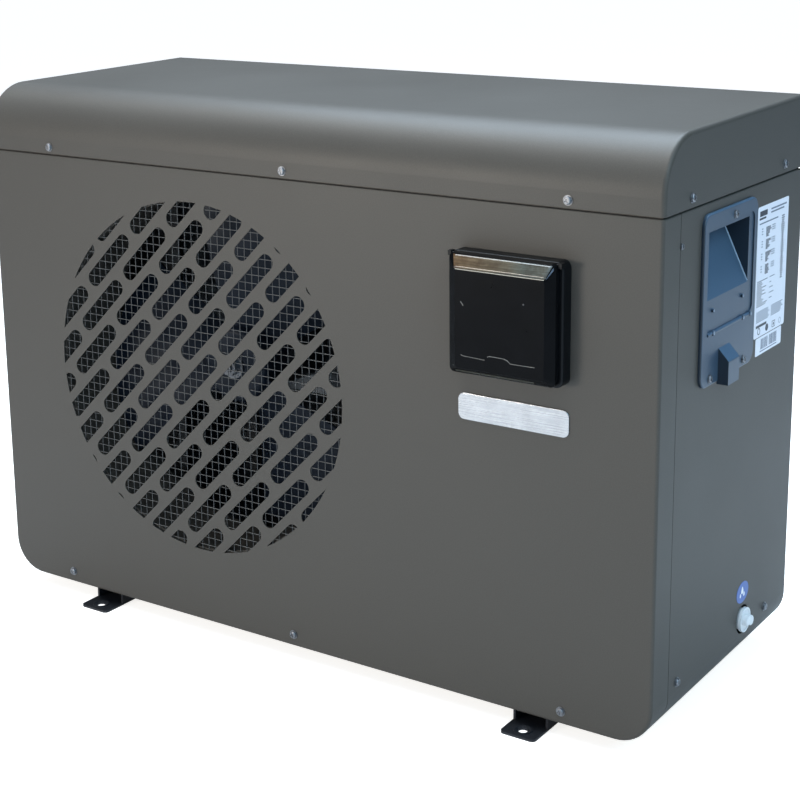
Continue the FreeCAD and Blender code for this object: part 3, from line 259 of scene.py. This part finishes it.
motor_mat = surface("motor_paint", (0.05, 0.05, 0.055), rough=0.35, grain=400, shade=0.15)
rubber_mat = surface("black_rubber", (0.018, 0.018, 0.019), rough=0.75, grain=800, shade=0.2)
copper_mat = brushed("copper", (0.75, 0.36, 0.22), rough=0.3, scale=(200, 200, 60))
can_mat = surface("compressor_paint", (0.015, 0.015, 0.017), rough=0.25, grain=200, shade=0.2, coat=0.3)
pvc_mat = surface("grey_pvc", (0.16, 0.18, 0.2), rough=0.33, grain=700)
nut_mat = surface("nut_pvc", (0.05, 0.055, 0.065), rough=0.36, grain=700, shade=0.1)
white_mat = surface("white_plastic", (0.78, 0.79, 0.8), rough=0.32, shade=0.02, broad_shade=0.03)
paper_mat = surface("label_film", (0.80, 0.79, 0.85), rough=0.38, grain=500, shade=0.02, broad_shade=0.03)
ink_mat = surface("label_ink", (0.03, 0.035, 0.05), rough=0.45, shade=0.3)
pale_ink_mat = surface("pale_ink", (0.16, 0.18, 0.23), rough=0.45, shade=0.2)
blue_mat = surface("blue_film", (0.03, 0.11, 0.4), rough=0.35)
badge_mat = brushed("bright_badge", (0.56, 0.56, 0.57), rough=0.24, scale=(15, 15, 900))
board_mat = surface("board", (0.02, 0.13, 0.05), rough=0.4, grain=250, shade=0.4)
key_mat = surface("key_rubber", (0.32, 0.33, 0.35), rough=0.6)
keypad_mat = surface("keypad", (0.07, 0.07, 0.08))
display_mat = surface("display", (0.02, 0.03, 0.035), rough=0.12, grain=40, strength=0.02, coat=0.5)
electric_mat = surface("moulded_black", (0.03, 0.03, 0.032), grain=700, shade=0.15)
exchanger_mat = surface("exchanger_shell", (0.03, 0.03, 0.033), rough=0.4, grain=500, shade=0.1)
fin_mat = fins("fin_pack")

LOOKS = {
    "coated": coat_mat, "galvanised": zinc_mat, "guard_wire": wire_mat, "rear_guard_coat": guard_mat,
    "fan_plastic": rotor_mat, "bright_steel": steel_mat, "motor_paint": motor_mat,
    "fin_aluminium": fin_mat, "copper": copper_mat, "compressor_paint": can_mat, "rubber_black": rubber_mat,
    "exchanger_plastic": exchanger_mat, "union_grey": pvc_mat, "union_nut_grey": nut_mat,
    "cap_white": white_mat, "handle_plastic": handle_mat, "control_black": black_mat,
    "cover_smoke": smoke_mat, "display_black": display_mat, "keypad_grey": keypad_mat,
    "button_grey": key_mat, "board_green": board_mat, "electrical_black": electric_mat,
    "foot_steel": foot_mat, "label_white": paper_mat, "label_blue": blue_mat, "badge_bright": badge_mat,
}


def dress_cad_nodes():
    """One look for each material slot of the record, except that the fan shroud has the cabinet's coat."""
    for part in frame["record"]["subparts"]:
        ob = nodes[part["node"]]
        look = coat_mat if part["node"] == "fan_shroud" else LOOKS[part["material_slot"]]
        for slot in ob.material_slots:
            slot.material = look
        if not ob.material_slots:
            ob.data.materials.append(look)


dress_cad_nodes()


# ---------------------------------------------------------------- mesh helpers
def make_piece(name, verts, faces, body, material, smooth=False):
    me = bpy.data.meshes.new(name)
    me.from_pydata([tuple(v) for v in verts], [], faces)
    me.validate()
    bm = bmesh.new()
    bm.from_mesh(me)
    bmesh.ops.recalc_face_normals(bm, faces=bm.faces)
    bm.to_mesh(me)
    bm.free()
    ob = bpy.data.objects.new(name, me)
    scene.collection.objects.link(ob)
    me.materials.append(material)
    for p in me.polygons:
        p.use_smooth = smooth
    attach(ob, body)
    return ob


def circle(radius, steps, start=0.0, sweep=math.tau):
    """Points of a circle or arc about the origin, without the end point."""
    angles = [start + sweep * i / steps for i in range(steps)]
    return [(radius * math.cos(a), radius * math.sin(a)) for a in angles]


def rounded_loop(x0, x1, z0, z1, r, y):
    """Rounded rectangle in the XZ plane, in millimetres, as a loop of points."""
    steps = 6
    corners = ((x1 - r, z1 - r, 0), (x0 + r, z1 - r, 90), (x0 + r, z0 + r, 180), (x1 - r, z0 + r, 270))
    points = []
    for centre_x, centre_z, start in corners:
        for i in range(steps + 1):
            a = math.radians(start + 90 * i / steps)
            points.append((centre_x + r * math.cos(a), y, centre_z + r * math.sin(a)))
    return points


def skin(loops, cap_first=False, cap_last=False):
    """Vertices in metres and faces between loops of equal length."""
    n = len(loops[0])
    verts = [tuple(c * MM for c in p) for loop in loops for p in loop]
    faces = []
    for k in range(len(loops) - 1):
        a, b = k * n, (k + 1) * n
        faces += [(a + i, a + (i + 1) % n, b + (i + 1) % n, b + i) for i in range(n)]
    if cap_first:
        faces.append(tuple(range(n)))
    if cap_last:
        faces.append(tuple((len(loops) - 1) * n + i for i in range(n)))
    return verts, faces


def ribbon(points, width, plane_y, lift):
    """Raised line that follows points (x, z) on the front, in millimetres."""
    verts, faces = [], []
    for i, (x, z) in enumerate(points):
        x0, z0 = points[max(i - 1, 0)]
        x1, z1 = points[min(i + 1, len(points) - 1)]
        along = Vector((x1 - x0, z1 - z0)).normalized()
        half = Vector((-along.y, along.x)) * width / 2
        for side, d in ((1, 0), (-1, 0), (-1, lift), (1, lift)):
            verts.append(((x + side * half.x) * MM, (plane_y + d) * MM, (z + side * half.y) * MM))
    for i in range(len(points) - 1):
        a, b = 4 * i, 4 * i + 4
        faces += [(a + j, a + (j + 1) % 4, b + (j + 1) % 4, b + j) for j in range(4)]
    last = 4 * (len(points) - 1)
    faces += [(0, 1, 2, 3), (last, last + 1, last + 2, last + 3)]
    return verts, faces


# ---------------------------------------------------------------- control cover
# Lengths in millimetres. The front face lies a little behind the front of the node's box, and its raised
# lines fill that room.
(cover_x0, cover_y0, cover_z0), (cover_x1, cover_y1, cover_z1) = box_mm("control_cover")
BEVEL_LEFT, BEVEL_RIGHT, BEVEL_TOP, BEVEL_LOW = 11.4, 10.0, 17.0, 8.0
FACE_BACK, FACE_THICK, FACE_RADIUS = 0.5, 2.6, 4.0
RIM_DEPTH, RIM_RADIUS = 8.2, 6.0
SOFT_EDGE = 0.8
SIDE_WALL, TOP_WALL, HOLLOW_DEPTH = 2.5, 4.8, 10.0
LINE_SINK, LINE_LIFT, DOT_LIFT = 0.02, -0.45, -0.3
FACET_SINK, FACET_LIFT, FACET_SOFT = 0.05, 0.15, 0.1
STRIP_THICK = 0.5
face_x0, face_x1 = cover_x0 + BEVEL_LEFT, cover_x1 - BEVEL_RIGHT
face_z0, face_z1 = cover_z0 + BEVEL_LOW, cover_z1 - BEVEL_TOP
face_y = cover_y0 + FACE_BACK


def cover_piece(name, verts, faces, material, smooth=False):
    return make_piece(name, verts, faces, "control_cover", material, smooth)


def cover_loop(left, right, low, top, radius, y):
    """Rounded outline that stands in from the four sides of the cover's box."""
    return rounded_loop(cover_x0 + left, cover_x1 - right, cover_z0 + low, cover_z1 - top, radius, y)


def cover_shell():
    """Hollow cover with four bevels around its face, open to the back."""
    rim_y = cover_y0 + RIM_DEPTH
    outer = [
        cover_loop(0, 0, 0, 0, RIM_RADIUS, cover_y1),
        cover_loop(0, 0, 0, 0, RIM_RADIUS, rim_y),
        cover_loop(0.5, 1.0, SOFT_EDGE, 1.2, RIM_RADIUS, rim_y - 1.0),
        cover_loop(BEVEL_LEFT - SOFT_EDGE, BEVEL_RIGHT - SOFT_EDGE, BEVEL_LOW - SOFT_EDGE,
                   BEVEL_TOP - SOFT_EDGE, FACE_RADIUS, face_y + 0.5),
        cover_loop(BEVEL_LEFT, BEVEL_RIGHT, BEVEL_LOW, BEVEL_TOP, FACE_RADIUS, face_y),
    ]
    inner = [
        cover_loop(BEVEL_LEFT + 2.1, BEVEL_RIGHT + 2.5, BEVEL_LOW + 3, BEVEL_TOP + 3, 3, face_y + FACE_THICK),
        cover_loop(SIDE_WALL, SIDE_WALL, SIDE_WALL, TOP_WALL, 4, cover_y0 + HOLLOW_DEPTH),
        cover_loop(SIDE_WALL, SIDE_WALL, SIDE_WALL, TOP_WALL, 4, cover_y1),
    ]
    verts, faces = skin(outer, cap_last=True)
    inner_verts, inner_faces = skin(inner, cap_first=True)
    count = len(outer[0])
    shift = len(verts)
    verts += inner_verts
    faces += [tuple(i + shift for i in face) for face in inner_faces]
    back = shift + 2 * count
    faces += [(i, (i + 1) % count, back + (i + 1) % count, back + i) for i in range(count)]
    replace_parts(cover_piece("cover_shell", verts, faces, smoke_mat), "control_cover")


def painted_reflection_material():
    """Painted reflection: amber to pale cream, with a greenish part right of the middle, under fine
    horizontal streaks.
    """
    amber, cream, khaki = (0.17, 0.105, 0.052), (0.165, 0.125, 0.075), (0.125, 0.108, 0.075)
    green, pale_green, pale_blue = (0.10, 0.112, 0.096), (0.13, 0.14, 0.12), (0.12, 0.135, 0.145)
    streak_shade, blot_shade = (0.45, 0.4, 0.36), (0.62, 0.55, 0.5)
    m, nt, bsdf = new_material("cover_painted_reflection")
    place = object_place(nt)
    length = cover_x1 - cover_x0
    along = math_node(nt, "MULTIPLY_ADD", xyz(nt, place)["X"], 1 / (length * MM), -cover_x0 / length)
    streak = noise(nt, stretched(nt, place, (18, 60, 420)), 1.0, 4.0, 0.6)
    base = ramp(nt, along, [(0.0, amber), (0.3, cream), (0.58, khaki), (0.72, green), (0.9, pale_green),
                            (1.0, pale_blue)])
    tone = ramp(nt, streak, [(0.3, streak_shade), (0.6, WHITE)])
    blot = ramp(nt, noise(nt, place, 55.0, 5.0, 0.65), [(0.4, blot_shade), (0.6, WHITE)])
    nt.links.new(mul(nt, mul(nt, base, tone), blot), bsdf.inputs["Base Color"])
    bsdf.inputs["Roughness"].default_value = 0.2
    bsdf.inputs["Coat Weight"].default_value = 0.2
    bump(nt, bsdf, streak, 0.16, 0.0002)
    return m


def cover_painted_reflection():
    """Sheet over the cover's sloped upper edge that carries a painted reflection, a little swollen half way
    up the slope.
    """
    rows, cols = 6, 40
    swell = 0.35
    proud = Vector((0, -0.35, 0.16))
    foot_y, foot_z = face_y + 0.5, face_z1 + 1.0
    head_y, head_z = cover_y0 + 6.9, cover_z1 - 1.7
    foot_left, foot_right = (Vector((x, foot_y, foot_z)) for x in (face_x0 - 1.0, face_x1 + 0.6))
    head_left, head_right = (Vector((x, head_y, head_z)) for x in (cover_x0 + 6.2, cover_x1 - 3.4))
    verts, faces = [], []
    for i in range(rows + 1):
        t = i / rows
        lift = proud * (1 + swell * math.sin(math.pi * t))
        for j in range(cols + 1):
            u = j / cols
            foot = foot_left * (1 - u) + foot_right * u
            head = head_left * (1 - u) + head_right * u
            verts.append((foot * (1 - t) + head * t + lift) * MM)
    for i in range(rows):
        for j in range(cols):
            a = i * (cols + 1) + j
            faces.append((a, a + 1, a + cols + 2, a + cols + 1))
    strip = cover_piece("cover_painted_reflection", verts, faces, painted_reflection_mat, smooth=True)
    solid = strip.modifiers.new("thick", "SOLIDIFY")
    solid.thickness = STRIP_THICK * MM
    solid.offset = -1


def facet(name, corners, material):
    """Thin four-cornered plate on one bevel of the cover that carries painted light, softened by a bevel of
    its own.
    """
    p = [Vector(c) for c in corners]
    out = (p[1] - p[0]).cross(p[3] - p[0]).normalized()
    if out.y > 0:
        out = -out
    verts = [(c + out * d) * MM for d in (FACET_SINK, FACET_LIFT) for c in p]
    faces = [(0, 1, 2, 3), (4, 5, 6, 7)] + [(i, (i + 1) % 4, 4 + (i + 1) % 4, 4 + i) for i in range(4)]
    soft = cover_piece(name, verts, faces, material).modifiers.new("soft", "BEVEL")
    soft.width = FACET_SOFT * MM
    soft.segments = 2


def cover_facets():
    """Warm painted light on the left bevel and the lower bevel, and a cool painted reflection on the small
    pane in the upper right corner.
    """
    near_side, near_face = (cover_x0 + 1.6, cover_y0 + 6.7), (cover_x0 + 9.0, cover_y0 + 2.2)
    foot = cover_z0 + 9
    facet("cover_left_edge", [(*near_side, foot), (*near_face, foot), (*near_face, cover_z1 - 18),
                              (*near_side, cover_z1 - 12)], bevel_light_mat)
    left, right = cover_x0 + 10, cover_x1 - 24
    low, high = (cover_y0 + 5.9, cover_z0 + 2.2), (cover_y0 + 3.6, cover_z0 + 4.6)
    facet("cover_low_edge", [(left, *low), (right, *low), (right, *high), (left, *high)], bevel_light_mat)
    facet("cover_corner_pane", [
        (face_x1 + 1.6, cover_y0 + 1.1, face_z1 + 0.6),
        (cover_x1 - 1.9, cover_y0 + 6.7, face_z1 + 10.5),
        (cover_x1 - 2.3, cover_y0 + 6.5, cover_z1 - 3.2),
        (face_x1 + 1.7, cover_y0 + 1.5, face_z1 + 1.8),
    ], corner_reflection_mat)


def cover_line(name, points, width, material):
    verts, faces = ribbon(points, width, face_y - LINE_SINK, LINE_LIFT)
    cover_piece(name, verts, faces, material)


def cover_lines():
    """Painted highlight along the lower edge of the painted reflection, two latch lines near the foot and a
    short mark on the left.
    """
    latch_left = [(19.5, 15.8), (21.5, 14.6), (50.5, 13.6)]
    latch_right = [(54, 17.6), (57, 18.8), (75, 18.6), (79.5, 17.2), (83.5, 14.0), (114, 14.2)]
    mark_left = [(19.4, -36.4), (21.4, -38.6), (22.8, -41)]
    edge_z = face_z1 + 0.2
    # painted highlight: a bright line along the crease under the painted reflection
    cover_line("cover_strip_edge", [(face_x0 + 0.6, edge_z), (face_x1 - 0.4, edge_z)], 0.9, edge_highlight_mat)
    for name, route, start_z, width in (("cover_latch_left", latch_left, face_z0, 0.45),
                                        ("cover_latch_right", latch_right, face_z0, 0.45),
                                        ("cover_mark_left", mark_left, face_z1, 0.6)):
        cover_line(name, [(cover_x0 + dx, start_z + dz) for dx, dz in route], width, line_mat)


def cover_dot(name, x, z, r):
    """Small domed dot on the cover's face."""
    y = face_y - LINE_SINK
    loops = []
    for lift, size in ((0, 1), (DOT_LIFT * 0.7, 1), (DOT_LIFT, 0.75)):
        loops.append([(x + dx * size, y + lift, z + dz * size) for dx, dz in circle(r, 20)])
    verts, faces = skin(loops, cap_first=True, cap_last=True)
    cover_piece(name, verts, faces, dim_mat, smooth=True)


def side_tab(name, x_wall, way, z_mid, half):
    """Small grip moulded on the end of the cover; way is -1 on the left and 1 on the right."""
    proud = 0.4
    loops = []
    for out, shrink in ((-proud, 0), (proud * 0.75, 0), (proud, 0.6)):
        x = x_wall + way * out
        y0, y1 = cover_y0 + 8.6 + shrink, cover_y0 + 13.0 - shrink
        z0, z1 = z_mid - half + shrink, z_mid + half - shrink
        loops.append([(x, y0, z0), (x, y1, z0), (x, y1, z1), (x, y0, z1)])
    verts, faces = skin(loops, cap_first=True, cap_last=True)
    cover_piece(name, verts, faces, smoke_mat)


# painted reflection on the cover's sloped upper bevel
painted_reflection_mat = painted_reflection_material()
# colour of the painted highlight under the painted reflection
edge_highlight_mat = surface("cover_edge_highlight", (0.42, 0.38, 0.31), rough=0.25, grain=600, shade=0.15)
dim_mat = surface("cover_dim_mark", (0.03, 0.032, 0.036), rough=0.3, grain=90, shade=0.3)
line_mat = surface("cover_line", (0.22, 0.21, 0.19), rough=0.3, grain=90, shade=0.45)
# painted light caught on the left and lower bevels
bevel_light_mat = surface("cover_bevel_light", (0.026, 0.026, 0.017), rough=0.3, grain=200, shade=0.3)
# painted reflection on the small corner pane
corner_reflection_mat = surface("cover_corner_reflection", (0.07, 0.095, 0.13), rough=0.2, grain=150, shade=0.35)
cover_shell()
# sheet with the painted reflection
cover_painted_reflection()
cover_facets()
cover_lines()
cover_dot("cover_mark_right", cover_x0 + 99.5, face_z1 - 30, 1.1)
side_tab("cover_tab_left", cover_x0 + 0.45, -1, cover_z0 + 78, 9)
side_tab("cover_tab_right", cover_x1 - 0.45, 1, cover_z0 + 62, 5)


# ---------------------------------------------------------------- printed labels
PRINT_SINK, PRINT_LIFT, DROP_LIFT = 0.03, 0.12, 0.15
(_, plate_y0, plate_z0), (plate_x1, plate_y1, plate_z1) = box_mm("rating_label")
plate_w, plate_h = plate_y1 - plate_y0, plate_z1 - plate_z0


def side_print(name, rects, material, face_x):
    """Thin raised rectangles (y0, y1, z0, z1) on a label of the right side."""
    verts, faces = [], []
    for y0, y1, z0, z1 in rects:
        k = len(verts)
        for x in (face_x - PRINT_SINK, face_x - PRINT_SINK + PRINT_LIFT):
            for y, z in ((y0, z0), (y1, z0), (y1, z1), (y0, z1)):
                verts.append((x * MM, y * MM, z * MM))
        faces += [(k, k + 1, k + 2, k + 3), (k + 4, k + 5, k + 6, k + 7)]
        faces += [(k + i, k + (i + 1) % 4, k + 4 + (i + 1) % 4, k + 4 + i) for i in range(4)]
    make_piece(name, verts, faces, "casing", material)


def plate_rect(left, right, top, foot):
    """Rectangle on the rating label, from shares of its width and height, from its upper left corner."""
    return (plate_y0 + left * plate_w, plate_y0 + right * plate_w, plate_z1 - foot * plate_h,
            plate_z1 - top * plate_h)


def plate_bar(left, right, top, thick):
    return plate_rect(left, right, top, top + thick)


def rating_print():
    """Generic plate: a header, four data blocks, a value column and text-like lines."""
    rng = random.Random(11)
    dark = [plate_rect(0.06, 0.30, 0.035, 0.075), plate_rect(0.05, 0.26, 0.085, 0.10)]
    light = [plate_rect(0.42, 0.93, 0.04, 0.052), plate_rect(0.42, 0.85, 0.065, 0.077),
             plate_rect(0.06, 0.66, 0.125, 0.135)]
    for block in range(4):
        top = 0.17 + 0.095 * block
        for i in range(8):
            length = 0.2 * rng.uniform(0.45, 1.0) * (1 - 0.05 * i)
            dark.append(plate_bar(0.28, 0.28 + length, top + 0.0095 * i, 0.0066))
        for i in range(3):
            light.append(plate_bar(0.47, 0.58, top + 0.016 * i, 0.006))
            light.append(plate_bar(0.14, 0.18, top + 0.02 * i, 0.007))
    for i in range(30):
        half = rng.uniform(0.025, 0.06)
        dark.append(plate_bar(0.83 - half, 0.83 + half, 0.13 + 0.0165 * i, 0.0082))
    for i in range(15):
        top = 0.565 + 0.0135 * i
        dark.append(plate_bar(0.05, 0.05 + rng.uniform(0.12, 0.34), top, 0.0055))
        if i % 3 == 0:
            light.append(plate_bar(0.45, 0.45 + rng.uniform(0.05, 0.2), top, 0.006))
    for i in range(7):
        top = 0.80 + 0.0125 * i
        light.append(plate_bar(0.06, rng.uniform(0.42, 0.5), top, 0.006))
        light.append(plate_bar(0.54, rng.uniform(0.84, 0.93), top, 0.006))
    dark.append(plate_rect(0.06, 0.40, 0.905, 0.925))
    side_print("rating_print_dark", dark, ink_mat, plate_x1)
    side_print("rating_print_light", light, pale_ink_mat, plate_x1)


def plate_ring(name, across, z, r_out, r_in, material):
    """Flat ring or disc on the rating label; across is a share of its width."""
    y = plate_y0 + across * plate_w
    low, high = plate_x1 - PRINT_SINK, plate_x1 - PRINT_SINK + PRINT_LIFT
    loops = []
    for r, x in ((r_in, low), (r_out, low), (r_out, high), (r_in, high), (r_in, low)):
        loops.append([(x, y + dy, z + dz) for dy, dz in circle(r, 28)])
    verts, faces = skin(loops)
    make_piece(name, verts, faces, "casing", material)


def rating_symbols():
    """Three rings and a square box with a dot, in one row near the foot of the label."""
    z = plate_z1 - 0.955 * plate_h
    plate_ring("rating_symbol_a", 0.16, z, 4.3, 3.2, ink_mat)
    plate_ring("rating_symbol_b", 0.42, z, 4.5, 0.4, ink_mat)
    plate_ring("rating_symbol_c", 0.85, z, 3.6, 3.0, pale_ink_mat)
    y = plate_y0 + 0.64 * plate_w
    half_w, half_h, line, dot = 5, 4, 0.8, 1.6
    square = [
        (y - half_w, y + half_w, z - half_h, z - half_h + line),
        (y - half_w, y + half_w, z + half_h - line, z + half_h),
        (y - half_w, y - half_w + line, z - half_h, z + half_h),
        (y + half_w - line, y + half_w, z - half_h, z + half_h),
        (y - dot, y + dot, z - dot, z + dot),
    ]
    side_print("rating_symbol_d", square, ink_mat, plate_x1)


def serial_print():
    """Generic bars in two groups over a thin line."""
    (_, y0, z0), (x1, y1, z1) = box_mm("serial_label")
    rng = random.Random(5)
    bars = []
    for start, end in ((0.20, 0.46), (0.52, 0.82)):
        y = y0 + start * (y1 - y0)
        stop = y0 + end * (y1 - y0)
        while y < stop:
            width = rng.choice((0.5, 0.8, 1.2))
            bars.append((y, min(y + width, stop), z0 + 6, z1 - 3))
            y += width + rng.choice((0.5, 0.8, 1.1))
    bars.append((y0 + 14, y1 - 14, z0 + 3, z0 + 4.2))
    side_print("serial_print", bars, pale_ink_mat, x1)


def droplets():
    """Three generic water drops that face +X on the drain label; placed from its middle."""
    (_, y0, z0), (x1, y1, z1) = box_mm("drain_label")
    middle_y, middle_z = (y0 + y1) / 2, (z0 + z1) / 2
    head, foot = 1.35, 0.8
    for name, y, z, size in (("drain_drop_a", -1.0, 1.5, 4.6), ("drain_drop_b", -6.5, -3.5, 2.6),
                             ("drain_drop_c", 4.6, -4.0, 3.0)):
        outline = []
        for across, up in circle(1.0, 28):
            taper = 1 - 0.5 * max(0.0, up) ** 1.5
            dz = up * (head if up > 0 else foot)
            outline.append((middle_y + y + size * 0.75 * across * taper, middle_z + z + size * dz))
        loops = [[(x1 - PRINT_SINK + lift, py, pz) for py, pz in outline] for lift in (0, DROP_LIFT)]
        verts, faces = skin(loops, cap_first=True, cap_last=True)
        make_piece(name, verts, faces, "casing", white_mat)


rating_print()
rating_symbols()
serial_print()
droplets()


# ---------------------------------------------------------------- handle details
# Lengths of the handle in millimetres, from its rear, its top, its inner side and its plate.
WALL_IN, SLOPE_FOOT, SLOPE_HEAD = 23.0, 98.5, 22.0
BODY_DEPTH, SLOPE_DEPTH, PLATE_THICK, DISH = 36.8, 34.0, 4.0, 1.6
RIB_DOWN, PIN_DOWN = 138.0, 112.0
# Studs of the handle: distance from its rear, distance from its top, radius, height of the face under it.
STUDS = ((123, RIB_DOWN, 2.2, 1.9), (38, RIB_DOWN, 2.2, 1.9), (16, RIB_DOWN, 2.2, 1.9),
         (123, PIN_DOWN, 1.7, 0.8), (39, PIN_DOWN, 1.7, 0.8))
# painted highlight: bead and studs are lighter than the handle to stand for the light they catch
glint_stud_mat = surface("handle_stud_glint", (0.20, 0.25, 0.32), rough=0.3, metal=0.3, grain=600, shade=0.15)


def grip_bead(name, grip, way):
    """Bead where the sloped floor of the grip meets its rear wall, and the studs around it, all lighter than
    the handle as a painted highlight.

    way is 1 on the right and -1 on the left.
    """
    (x0, _, _), (x1, rear, top) = box_mm(grip)
    plate = (x0 if way > 0 else x1) + way * BODY_DEPTH
    out = plate + way * PLATE_THICK
    wall = rear - WALL_IN
    start = Vector((out - way * (DISH + 0.6), wall, top - SLOPE_FOOT + 1.2))
    end = Vector((plate - way * (SLOPE_DEPTH - 0.6), wall, top - SLOPE_HEAD - 1.2))
    along = (end - start).normalized()
    up = Vector((along.z * way, 0, -along.x * way))
    profile = ((0.05, 0.2), (0.05, -1.3), (0.55, -1.1), (1.1, -0.4), (1.2, 0.2))
    loops = [[p + up * rise + Vector((0, back, 0)) for rise, back in profile] for p in (start, end)]
    verts, faces = skin(loops, cap_first=True, cap_last=True)
    make_piece(name, verts, faces, "casing", glint_stud_mat)
    for number, (inset, down, radius, height) in enumerate(STUDS, 1):
        x, y, z = out + way * height, rear - inset, top - down
        rings = []
        for lift, size in ((-0.1, 1.0), (0.12, 0.95), (0.28, 0.6)):
            rings.append([(x + way * lift, y + dy, z + dz) for dy, dz in circle(radius * size, 20)])
        verts, faces = skin(rings, cap_first=True, cap_last=True)
        make_piece(f"{name}_stud_{number}", verts, faces, "casing", glint_stud_mat, smooth=True)


grip_bead("right_grip_bead", "right_handle", 1)
grip_bead("left_grip_bead", "left_handle", -1)


# ---------------------------------------------------------------- keys and display
def key_symbols():
    """Generic signs on the four keys: up, down, ring and bar."""
    signs = (
        [(-2.6, -1.4), (0, 1.6), (2.6, -1.4)],
        [(-2.6, 1.4), (0, -1.6), (2.6, 1.4)],
        circle(2.4, 11, math.radians(120), math.radians(330)),
        [(-2.4, 0), (2.4, 0)],
    )
    for number, sign in enumerate(signs, 1):
        key = f"button_{number}"
        (x0, y0, z0), (x1, _, z1) = box_mm(key)
        x, z = (x0 + x1) / 2, (z0 + z1) / 2
        verts, faces = ribbon([(x + dx, z + dz) for dx, dz in sign], 0.7, y0 + 0.02, -0.08)
        make_piece(f"key_sign_{number}", verts, faces, key, white_mat)


key_symbols()


# ---------------------------------------------------------------- stage, lights, world, camera
# Light given off by the floor, as the camera sees it and as it reaches the object.
FLOOR_SEEN, FLOOR_GLOW = 0.84, 0.08
FLOOR_HALF = 30.0
# Area lights: name, place, target, width and height, watts, colour.
LIGHTS = (
    ("top_soft", (-0.3, 0.7, 3.0), (0, 0, 0.5), (2.6, 2.0), 180, (0.70, 0.85, 1.0)),
    ("top_left_strip", (-0.35, -0.9, 2.7), (0.2, -0.1, 0.7), (3.9, 1.0), 46, (1.0, 0.97, 0.93)),
    ("key_left", (-1.6, -3.2, 0.7), (0.2, -0.2, 0.36), (0.9, 0.7), 50, (1.0, 0.93, 0.84)),
    ("right_cool", (1.95, -0.75, 1.75), (0.48, -0.05, 0.62), (1.5, 1.2), 21, (0.54, 0.84, 1.0)),
)
CAM_PLACE = (1.2277, -1.7831, 0.9646)
CAM_YAW, CAM_PITCH, CAM_ROLL = 33.800, 13.134, -0.584
CAM_SENSOR, CAM_FOCAL, CAM_SHIFT = 36.0, 2.103, -0.14375


def stage_floor():
    me = bpy.data.meshes.new("floor")
    s = FLOOR_HALF
    me.from_pydata([(-s, -s, 0), (s, -s, 0), (s, s, 0), (-s, s, 0)], [], [(0, 1, 2, 3)])
    ob = bpy.data.objects.new("floor", me)
    scene.collection.objects.link(ob)
    m, nt, bsdf = new_material("floor")
    patches = noise(nt, object_place(nt), 2.0)
    nt.links.new(noise_ramp(nt, patches, grey(0.70), grey(0.72)), bsdf.inputs["Base Color"])
    bsdf.inputs["Roughness"].default_value = 0.9
    bsdf.inputs["Specular IOR Level"].default_value = 0.1
    bsdf.inputs["Emission Color"].default_value = (1.0, 0.98, 0.95, 1.0)
    seen = nt.nodes.new("ShaderNodeLightPath").outputs["Is Camera Ray"]
    glow = math_node(nt, "MULTIPLY_ADD", seen, FLOOR_SEEN - FLOOR_GLOW, FLOOR_GLOW)
    nt.links.new(glow, bsdf.inputs["Emission Strength"])
    me.materials.append(m)


def studio_world():
    """White to the camera; its light is warm from the left, cool from the right and dim from behind."""
    warm, cool = (0.44, 0.42, 0.39), (0.30, 0.46, 0.60)
    low, level, above = (0.62, 0.58, 0.53), (0.95, 1.0, 1.08), (0.62, 0.76, 0.98)
    dim = (0.14, 0.16, 0.18)
    world = bpy.data.worlds.new("studio")
    scene.world = world
    world.use_nodes = True
    nt = world.node_tree
    background = nt.nodes["Background"]
    way = xyz(nt, nt.nodes.new("ShaderNodeTexCoord").outputs["Generated"])
    x, y, z = (math_node(nt, "MULTIPLY_ADD", way[axis], 0.5, 0.5) for axis in "XYZ")
    side = ramp(nt, x, [(0.15, warm), (0.85, cool)])
    height = ramp(nt, z, [(0.35, low), (0.6, level), (1.0, above)])
    depth = ramp(nt, y, [(0.5, WHITE), (0.85, dim)])
    seen = nt.nodes.new("ShaderNodeLightPath").outputs["Is Camera Ray"]
    colour = node(nt, "ShaderNodeMix", data_type="RGBA")
    nt.links.new(seen, colour.inputs[0])
    nt.links.new(mul(nt, mul(nt, side, height), depth), colour.inputs[6])
    colour.inputs[7].default_value = (*WHITE, 1.0)
    nt.links.new(colour.outputs[2], background.inputs["Color"])
    background.inputs["Strength"].default_value = 1.0


def area_light(name, place, target, size, watts, colour):
    data = bpy.data.lights.new(name, "AREA")
    data.shape = "RECTANGLE"
    data.size, data.size_y = size
    data.energy = watts
    data.color = colour
    ob = bpy.data.objects.new(name, data)
    ob.location = place
    ob.rotation_euler = (Vector(target) - Vector(place)).to_track_quat("-Z", "Y").to_euler()
    scene.collection.objects.link(ob)


def aim(yaw, pitch, roll):
    """Rotation of a camera that looks along +Y at rest and is then turned left, tilted down and rolled."""
    y, p, r = (math.radians(v) for v in (yaw, pitch, roll))
    forward = Vector((-math.sin(y) * math.cos(p), math.cos(y) * math.cos(p), -math.sin(p)))
    level_right = Vector((math.cos(y), math.sin(y), 0))
    level_up = level_right.cross(forward)
    right = level_right * math.cos(r) + level_up * math.sin(r)
    up = level_up * math.cos(r) - level_right * math.sin(r)
    return Matrix((right, up, -forward)).transposed().to_4x4()


def add_camera():
    data = bpy.data.cameras.new("camera")
    data.sensor_width = CAM_SENSOR
    data.lens = CAM_SENSOR * CAM_FOCAL
    data.shift_y = CAM_SHIFT
    ob = bpy.data.objects.new("camera", data)
    ob.matrix_world = Matrix.Translation(CAM_PLACE) @ aim(CAM_YAW, CAM_PITCH, CAM_ROLL)
    scene.collection.objects.link(ob)
    scene.camera = ob


stage_floor()
studio_world()
for light in LIGHTS:
    area_light(*light)
scene.view_settings.view_transform = "Standard"
add_camera()
